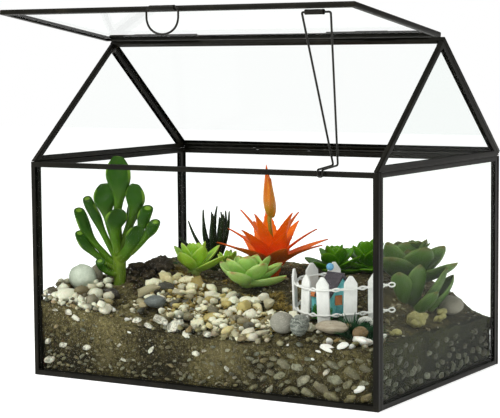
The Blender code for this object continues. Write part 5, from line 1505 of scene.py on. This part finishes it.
def catmull(points, t):
    """Point on a smooth curve through the points, with t counted in spans."""
    i = min(int(t), len(points) - 2)
    u = t - i
    p0 = points[max(i - 1, 0)]
    p1, p2 = points[i], points[i + 1]
    p3 = points[min(i + 2, len(points) - 1)]
    return 0.5 * ((2 * p1) + (p2 - p0) * u + (2 * p0 - 5 * p1 + 4 * p2 - p3) * u * u
                  + (3 * p1 - p0 - 3 * p2 + p3) * u ** 3)


def picket_model():
    """Flat board with a four-sided point and soft edges."""
    wide, thick, tall, point = 8.2, 1.6, 28.5, 4.6
    picket = block((-wide / 2, -thick / 2, 0.0), (wide / 2, thick / 2, tall - point))
    edit(picket, "FACE")
    pick(picket, "faces", lambda f: f.normal.z > 0.9)
    extrude(0, 0, point)
    bpy.ops.transform.resize(value=(0.25, 0.9, 1.0))
    let_go()
    rounded(picket, 0.42, 3, 20)
    edit(picket)
    bpy.ops.mesh.subdivide(number_cuts=2)
    let_go()
    return picket


def make_fence(paint):
    """Pickets on two pairs of twisted wires, with a loop where each pair ends."""
    model = picket_model()
    feet = [Vector(p) for p in FENCE_FEET]
    route = feet + [Vector(FENCE_END)]
    spans = len(route) - 1
    rng = random.Random(17)
    nudge, steps, swing = 0.02, 16, 1.25
    parts = []
    for i, foot in enumerate(feet):
        ahead = catmull(route, i + nudge) - catmull(route, max(i - nudge, 0))
        lean = spun(rng.uniform(-0.05, 0.05), "Y") @ spun(rng.uniform(-0.05, 0.05), "X")
        parts.append(twin(model, moved(foot) @ spun(math.atan2(ahead.y, ahead.x), "Z") @ lean))
    drop(model)
    for height in (5.0, 20.5):
        for phase in (1, -1):
            points = []
            for n in range(spans * steps + 1):
                t = n / steps
                here = catmull(route, t)
                ahead = catmull(route, min(t + nudge, spans)) - catmull(route, max(t - nudge, 0))
                side = Vector((-ahead.y, ahead.x, 0)).normalized()
                # The pair spreads round each picket and twists between two
                if abs(t - round(t)) > 0.2:
                    turn = math.pi * (math.floor(t) + 0.5 + (t - math.floor(t) - 0.5) * 3.0)
                    out, rise = 0.7 * math.cos(turn), 0.95 * math.sin(turn)
                else:
                    out, rise = math.cos(math.pi * t), 0.4 * math.sin(math.pi * t)
                points.append(here + side * (phase * swing * out) + Vector((0, 0, height + phase * rise)))
            parts.append(wire(smooth_line(points), 0.6, False, 2))
        for at, along in ((feet[0], route[0] - route[1]), (route[-1], route[-1] - route[-2])):
            along.z = 0
            along.normalize()
            loop = []
            for n in range(14):
                turn = math.tau * n / 13
                loop.append(at + along * (1.9 - 1.9 * math.cos(turn)) + Vector((0, 0, height + 1.25 * math.sin(turn))))
            parts.append(wire(loop, 0.5, False, 2))
    finished(joined(parts, "fence"), "fence_fine", paint, "case", 40, ("fence",))


def smooth_line(points):
    """Evens out the corners of a line, ends kept."""
    for _ in range(2):
        inner = [(a + b * 2 + c) / 4 for a, b, c in zip(points, points[1:], points[2:])]
        points = [points[0], *inner, points[-1]]
    return points


def make_cottage():
    """Toy cottage in painted resin: boarded walls, lapped shingles, panels, slit door and ball."""
    half_w, half_d, tall, rise = 8.5, 6.25, 14.0, 10.0
    top = tall + rise
    place = moved((71.5, -40.5, 46.425)) @ spun(1.2, "Z")
    turquoise = toy_paint("turquoise_paint", (0.22, 0.72, 0.74), (0.07, 0.44, 0.50), (0.66, 0.90, 0.88), 1.6)
    shingle = toy_paint("shingle_violet", (0.075, 0.060, 0.075), (0.035, 0.027, 0.036), (0.17, 0.15, 0.17), 1.4,
                        dirt=0.0)
    orange = toy_paint("salmon_paint", (0.78, 0.26, 0.075), (0.55, 0.15, 0.04), (0.85, 0.45, 0.25), 1.6)
    blue = toy_paint("ball_blue", (0.19, 0.50, 0.78), (0.12, 0.38, 0.66), (0.55, 0.75, 0.9), 1.6, 0.4, 0.0)
    # The dark paint for the openings is painted shade
    hollow = toy_paint("openings_painted_shade", (0.012, 0.035, 0.045), (0.006, 0.015, 0.02), (0.05, 0.12, 0.13), 1.5, 0.7)

    def slab(low, high, bevel):
        piece = block(low, high, bevel)
        piece.data.transform(place)
        return piece

    parts = [rounded(solid_copy("house_walls"), 0.35, 2)]
    # Boards on both gables, 3.4 mm apart
    for k in range(5):
        u = -half_w + 1.7 + k * 3.4
        height = tall + rise * (1 - abs(u) / half_w) - 1.6
        for face in (-half_d, half_d):
            near, far = sorted((face, face + math.copysign(0.28, face)))
            parts.append(slab((u - 1.45, near, 0.3), (u + 1.45, far, height), 0.12))
    parts.append(slab((1.2, -half_d - 0.62, 0.3), (4.4, -half_d - 0.2, 7.6), 0.1))
    finished(joined(parts, "cottage"), "cottage_walls", turquoise, "case", 35, ("house_walls",))

    # Thin dark slabs in the slit door and windows: painted shade of the openings
    slits = [slab(low, high, 0.06) for low, high in (
        ((1.7, -half_d - 0.72, 0.8), (3.9, -half_d - 0.55, 6.8)),
        ((-half_w - 0.25, -2.6, 3.0), (-half_w - 0.05, -0.6, 8.6)),
        ((-half_w - 0.25, 1.6, 3.0), (-half_w - 0.05, 3.2, 8.6)))]
    finished(joined(slits, "slits"), "cottage_openings_painted_shade", hollow, "case", 35)

    make_shingles(place, half_w, half_d, top, rise, shingle)
    for node, name in (("house_window", "cottage_panel"), ("house_wing_roof", "cottage_wing_roof")):
        panel = rounded(solid_copy(node), 0.3, 3)
        edit(panel, "FACE")
        pick(panel, "faces", lambda f: f.calc_area() > 8.0)
        bpy.ops.mesh.inset(thickness=0.6, depth=-0.18)
        let_go()
        finished(panel, name, orange, "case", 35, (node,))
    ball = smoothed(solid_copy("house_ball", 0.1), 2)
    centre, radius = middle_of(ball), 2.34
    for vert in ball.data.vertices:
        vert.co = centre + (vert.co - centre).normalized() * radius
    finished(ball, "cottage_ball", blue, "case", None, ("house_ball",))


def make_shingles(place, half_w, half_d, top, rise, material):
    """Rows of small lapped shingles on both slopes, and a ridge cap."""
    reach = half_d + 1.26
    angle = math.atan(rise / half_w)
    length = (half_w + 1.8) / math.cos(angle)
    rows, per_row = 6, 8
    row_length = length / rows
    wide = 2 * reach / per_row
    model = block((-wide / 2 + 0.06, -row_length * 1.25, 0.0), (wide / 2 - 0.06, 0.0, 0.62))
    edit(model, "EDGE")
    pick(model, "edges", lambda e: all(v.co.y < -row_length for v in e.verts)
         and abs(e.verts[0].co.z - e.verts[1].co.z) > 0.3)
    bpy.ops.mesh.bevel(offset=wide * 0.28, segments=3, affect="EDGES")
    let_go()
    rounded(model, 0.1, 1, 50)
    rng = random.Random(6)
    slope = moved((0, 0, top + 0.5)) @ spun(angle, "X")
    copies = []
    for turn in (-math.pi / 2, math.pi / 2):
        for row in range(rows):
            odd = row % 2
            for k in range(per_row + odd):
                along = -reach + wide * (k + 0.5) - (wide / 2 if odd else 0.0)
                width = 1.0
                if along < -reach + wide / 2 - 0.01 or along > reach - wide / 2 + 0.01:
                    # Half a shingle ends every other row
                    width = 0.5
                    along += wide / 4 if along < 0 else -wide / 4
                lay = spun(rng.uniform(-0.03, 0.03), "Z") @ spun(math.radians(5), "X")
                grow = Matrix.Diagonal((width, 1.0, rng.uniform(0.85, 1.15), 1.0))
                down = moved((0, -row * row_length, 0.55))
                # The row's own frame has Y down the slope, so it is turned to face its side
                copies.append(twin(model, place @ spun(turn, "Z") @ moved((along, 0, 0)) @ slope @ down @ lay @ grow))
    drop(model)
    copies.append(rounded(solid_copy("house_roof"), 0.2, 2))
    cap = block((-0.9, -reach, top + 1.2), (0.9, reach, top + 2.5), 0.4)
    cap.data.transform(place)
    copies.append(cap)
    finished(joined(copies, "roof"), "cottage_roof", material, "case", 35, ("house_roof",))


def make_hedge_bushes():
    """Two small bushes of glossy leaves along the long wall."""
    place = moved((71.5, -40.5, 44.287)) @ spun(1.2, "Z") @ moved((-8.5, 0, 0))
    out = -2.6
    rng = random.Random(12)
    parts = []
    sprig = grow_leaf(leaf_sections(2.0, (10, 40), ((0.0, 0.5), (0.5, 1.5), (1.0, 0.4)), ((0.0, 0.3), (1.0, 0.2)), 3),
                      6, 0.6)
    for along in (-4.0, 4.5):
        for _ in range(110):
            turn = rng.uniform(0, math.tau)
            up = rng.random()
            radius = 2.9 * math.sqrt(1 - (up * 0.8) ** 2) * rng.uniform(0.6, 1.0)
            root = Vector((out + radius * math.cos(turn) * 0.72, along + radius * math.sin(turn), 0.4 + 7.2 * up))
            shape = Matrix.Scale(rng.uniform(0.9, 1.5), 4)
            aim = spun(turn - math.pi / 2, "Z") @ spun(rng.uniform(-0.3, 0.9), "X")
            leaf = twin(sprig, place @ moved(root) @ aim @ shape)
            tint(leaf, lot=rng.random())
            parts.append(leaf)
        heart = start(bpy.ops.mesh.primitive_ico_sphere_add, subdivisions=2, radius=1.0)
        for vert in heart.data.vertices:
            vert.co = Vector((vert.co.x * 1.5 + out, vert.co.y * 2.0 + along, vert.co.z * 2.4 + 2.6)) \
                + Vector((0, 0, 0.5 * noise.noise(vert.co * 3)))
        heart.data.transform(place)
        tint(heart, along=0.3, rim=0.3, lot=0.3)
        parts.append(heart)
    drop(sprig)
    look = leaf_look("hedge_leaf", (0.07, 0.28, 0.03), (0.09, 0.44, 0.05), (0.22, 0.62, 0.09),
                     (0.16, 0.56, 0.09), 0.5, 0.4, 0.45, gloss=0.2, vary=0.5)
    finished(joined(parts, "hedge"), "hedge_bushes", look, "case", None, ("hedge",))


def make_shelter():
    """White half dome: a rough cast shell round a doorway, its shade painted on a dark half disc."""
    shell = rounded(solid_copy("shelter"), 0.5, 3)
    edit(shell)
    bpy.ops.mesh.subdivide(number_cuts=2, smoothness=0.3)
    let_go()
    for vert in shell.data.vertices:
        vert.co += vert.normal * 0.22 * noise.noise(vert.co * 0.7)
    white = toy_paint("plaster_white", (0.80, 0.80, 0.76), (0.62, 0.61, 0.56), (0.45, 0.42, 0.36), 1.8, 0.6, 0.35)
    finished(shell, "shelter_fine", white, "case", 40, ("shelter",))
    # Dark half disc in the doorway: painted shade of the hollow inside
    back = start(bpy.ops.mesh.primitive_circle_add, True, vertices=24, radius=3.3, fill_type="NGON",
                 rotation=(math.pi / 2, 0, 0))
    edit(back, "FACE")
    extrude(0, 0.8, 0)
    bpy.ops.mesh.select_all(action="SELECT")
    bpy.ops.mesh.bisect(plane_co=(0, 0, -0.6), plane_no=(0, 0, -1), use_fill=True, clear_outer=True)
    end_outward()
    rounded(back, 0.15, 2)
    back.data.transform(moved((98.5, -53.5, 43.485)) @ spun(0.45, "Z") @ moved((0, 0.9, 0.6)))
    # Colour of the painted shade in the doorway
    dark = toy_paint("shelter_doorway_painted_shade", (0.012, 0.010, 0.008), (0.006, 0.005, 0.004), (0.04, 0.035, 0.03), 1.5, 0.8, 0.0)
    finished(back, "shelter_doorway_shade", dark, "case", 35)


# Moss and litter

def moss_tuft(rng, strand, spot, spread, count, length, lift=0.0):
    """Strands round a spot that lean out more the farther they stand from it."""
    parts = []
    for _ in range(count):
        turn = rng.uniform(0, math.tau)
        out = spread * math.sqrt(rng.random())
        x, y = spot[0] + out * math.cos(turn), spot[1] + out * math.sin(turn)
        if not in_box(x, y, 1.5):
            continue
        lean = 0.3 + 0.9 * out / spread + rng.uniform(-0.3, 0.5)
        aim = spun(turn - math.pi / 2 + rng.uniform(-0.8, 0.8), "Z") @ spun(-lean, "X")
        size = length * rng.uniform(0.6, 1.2)
        root = moved((x, y, bed_height(x, y) - 0.4 + lift))
        blade = twin(strand, root @ aim @ Matrix.Diagonal((1, 1, size, 1)))
        tint(blade, lot=rng.random())
        parts.append(blade)
    return parts


def strand_model():
    """Tapered strand with a bend, 1 mm tall."""
    strand = start_face(4, 0.34)
    for lean, scale in ((0.10, 0.9), (0.25, 0.7), (0.45, 0.4)):
        extrude(0, lean, 1 / 3)
        bpy.ops.transform.resize(value=(scale, scale, 1.0))
    end_outward()
    return strand


def make_moss():
    """Green moss on the path and round the bed, a fern-like tuft by the shelter, and dry moss on the gravel."""
    rng = random.Random(31)
    strand = strand_model()
    # Place, spread, count and length
    green = []
    for x, y, spread, count, length in (
            (-28, -43, 4.2, 110, 3.4), (-10, -44, 5.5, 150, 4.4), (101, -58, 7.0, 220, 7.0),
            (94.5, -62.5, 5.5, 260, 11.0), (107, -64, 5.0, 160, 7.0), (-95, -8, 8, 200, 2.2), (30, 12, 9, 240, 2.4),
            (-100, 50, 10, 220, 2.4), (0, 68, 10, 220, 2.4), (70, 78, 8, 140, 2.2)):
        green += moss_tuft(rng, strand, (x, y), spread, count, length)
    look = moss_look("green_moss", (0.006, 0.030, 0.014), (0.030, 0.115, 0.040))
    finished(joined(green, "moss"), "moss_green", look, "case", None)
    dry = []
    for x, y, spread, count, length in (
            (-56, -24, 8, 260, 4.2), (-44, -27, 8, 260, 4.6), (-33, -33, 7, 200, 4.2), (-64, -17, 6, 120, 3.2),
            (8, -38, 6, 120, 3.4), (22, -33, 7, 130, 3.2), (34, -42, 6, 120, 3.4), (-20, -8, 8, 90, 2.4),
            (-44, -41, 5, 110, 4.2)):
        dry += moss_tuft(rng, strand, (x, y), spread, count, length, 1.6)
    # Dry bits that lie on the gravel
    for spot in ((-44, -50), (-36, -58), (-26, -50), (-16, -60), (-4, -54), (6, -62), (16, -56), (26, -66), (36, -60)):
        dry += moss_tuft(rng, strand, spot, 6.5, 60, 3.6, 3.6)
    look = moss_look("dry_moss", (0.085, 0.058, 0.014), (0.46, 0.33, 0.08))
    finished(joined(dry, "dry"), "moss_dry", look, "case", None)
    drop(strand)


# Camera, light and floor

def set_stage():
    """White shelf and room, and three soft lamps."""
    floor = start(bpy.ops.mesh.primitive_plane_add, True, size=6.0, location=(0, 0, -0.0002))
    floor.name = "floor"
    look = Look("pale_floor")
    tone = look.grain(180.0, 3.0)
    color = look.ramp(tone, (0.3, (0.93, 0.93, 0.93)), (0.7, (0.96, 0.96, 0.96)))
    floor.data.materials.append(look.surface(color, 0.75, look.bump(look.grain(2.0), 0.05, 0.2),
                                             Emission_Color=(1.0, 1.0, 1.0, 1.0), Emission_Strength=0.72))
    world = bpy.data.worlds.new("white_room")
    world.use_nodes = True
    sky = world.node_tree.nodes["Background"]
    sky.inputs["Color"].default_value = (1.0, 1.0, 1.0, 1.0)
    # The backdrop is white, and the room lights the object less than the lamps do
    path = world.node_tree.nodes.new("ShaderNodeLightPath")
    level = world.node_tree.nodes.new("ShaderNodeMapRange")
    level.inputs["To Min"].default_value = ROOM_LIGHT
    level.inputs["To Max"].default_value = 1.0
    world.node_tree.links.new(path.outputs["Is Camera Ray"], level.inputs["Value"])
    world.node_tree.links.new(level.outputs["Result"], sky.inputs["Strength"])
    bpy.context.scene.world = world
    bpy.context.scene.view_settings.view_transform = "Standard"
    for name, place, size, power in (("key", (-0.7, -1.2, 1.5), 0.6, 27.0), ("fill", (1.5, -0.8, 0.9), 1.0, 5.0),
                                     ("rim", (0.2, 1.3, 1.3), 0.9, 6.0)):
        light = start(bpy.ops.object.light_add, type="AREA", location=place)
        light.name = name
        light.data.size = size
        light.data.energy = power
        light.data.color = (1.0, 0.985, 0.93)
        aim = Vector((0, 0, 0.09)) - Vector(place)
        light.rotation_euler = aim.to_track_quat("-Z", "Y").to_euler()


def set_camera():
    """Camera fitted to the box's corners in the photograph."""
    azimuth, climb, roll = (math.radians(a) for a in (30.86, 5.19, -0.45))
    target, distance = Vector((-13.75, 0.0, 105.5)), 1127.75
    focal_pixels, photo_width, sensor = 1711.8, 500.0, 36.0
    back = Vector((math.sin(azimuth) * math.cos(climb), -math.cos(azimuth) * math.cos(climb), math.sin(climb)))
    right = (-back).cross(Vector((0, 0, 1))).normalized()
    up = right.cross(-back)
    across = right * math.cos(roll) + up * math.sin(roll)
    upward = -right * math.sin(roll) + up * math.cos(roll)
    matrix = Matrix((across, upward, back)).transposed().to_4x4()
    matrix.translation = target * MM + back * distance * MM
    camera = start(bpy.ops.object.camera_add)
    camera.matrix_world = matrix
    camera.data.sensor_fit = "HORIZONTAL"
    camera.data.sensor_width = sensor
    camera.data.lens = sensor * focal_pixels / photo_width
    camera.data.clip_start = 0.01
    bpy.context.scene.camera = camera


def main():
    read_soil()
    metal = patina_black()
    bright = wire_black()
    make_channels(metal, solder_grey())
    dress_glass()
    make_fittings(metal, bright)
    make_soil(potting_soil())
    models = pebble_models()
    chips = shard_models()
    path = pebble_look(
        "path_pebbles", (0.0, (0.84, 0.85, 0.70)), (0.34, (0.80, 0.75, 0.50)), (0.46, (0.60, 0.50, 0.19)),
        (0.58, (0.30, 0.22, 0.06)), (0.66, (0.84, 0.82, 0.66)), (0.84, (0.30, 0.26, 0.14)),
        (0.93, (0.11, 0.105, 0.075)), (1.0, (0.035, 0.035, 0.028)))
    pile = pebble_look(
        "pile_pebbles", (0.0, (0.56, 0.58, 0.45)), (0.40, (0.84, 0.83, 0.68)), (0.54, (0.34, 0.28, 0.13)),
        (0.64, (0.14, 0.11, 0.045)), (0.72, (0.78, 0.76, 0.60)), (0.90, (0.14, 0.12, 0.07)),
        (1.0, (0.030, 0.023, 0.014)))
    mixed = pebble_look(
        "mixed_grit", (0.0, (0.11, 0.10, 0.05)), (0.3, (0.24, 0.215, 0.10)), (0.5, (0.32, 0.30, 0.20)),
        (0.58, (0.74, 0.73, 0.62)), (0.66, (0.26, 0.17, 0.05)), (0.84, (0.14, 0.15, 0.11)),
        (1.0, (0.035, 0.035, 0.025)))
    white = pebble_look("white_chip", (0.0, (0.74, 0.74, 0.70)), (1.0, (0.82, 0.81, 0.76)))
    buried = pebble_look(
        "pebbles_in_soil", (0.0, (0.085, 0.080, 0.040)), (0.25, (0.17, 0.155, 0.070)), (0.42, (0.22, 0.225, 0.15)),
        (0.55, (0.30, 0.29, 0.20)), (0.58, (0.74, 0.73, 0.62)), (0.62, (0.19, 0.145, 0.05)),
        (0.78, (0.13, 0.145, 0.105)), (0.9, (0.19, 0.165, 0.07)), (1.0, (0.035, 0.035, 0.025)), dirt=0.7)
    end = pebble_look(
        "pebbles_seen_dimly", (0.0, (0.035, 0.038, 0.020)), (0.4, (0.080, 0.085, 0.048)),
        (0.80, (0.118, 0.126, 0.080)), (0.93, (0.29, 0.305, 0.225)), (1.0, (0.025, 0.026, 0.016)), dirt=0.72)
    crumbs = moss_look("dark_crumbs", (0.012, 0.009, 0.005), (0.085, 0.062, 0.032))
    make_path(models + chips, path)
    make_pile(models, pile)
    make_glass_pebbles(models, buried, end)
    make_clods(models, crumbs)
    make_scatter(models, chips, mixed, white)
    make_stones(models)
    drop(*models, *chips)
    make_jade()
    make_aloe()
    make_rosettes()
    make_bromeliad()
    make_fence(toy_paint("fence_paint", (0.86, 0.86, 0.84), (0.74, 0.74, 0.72), (0.66, 0.64, 0.60), 2.2, 0.42, 0.25))
    make_cottage()
    make_hedge_bushes()
    make_shelter()
    make_moss()
    set_stage()
    set_camera()


main()
let_go()
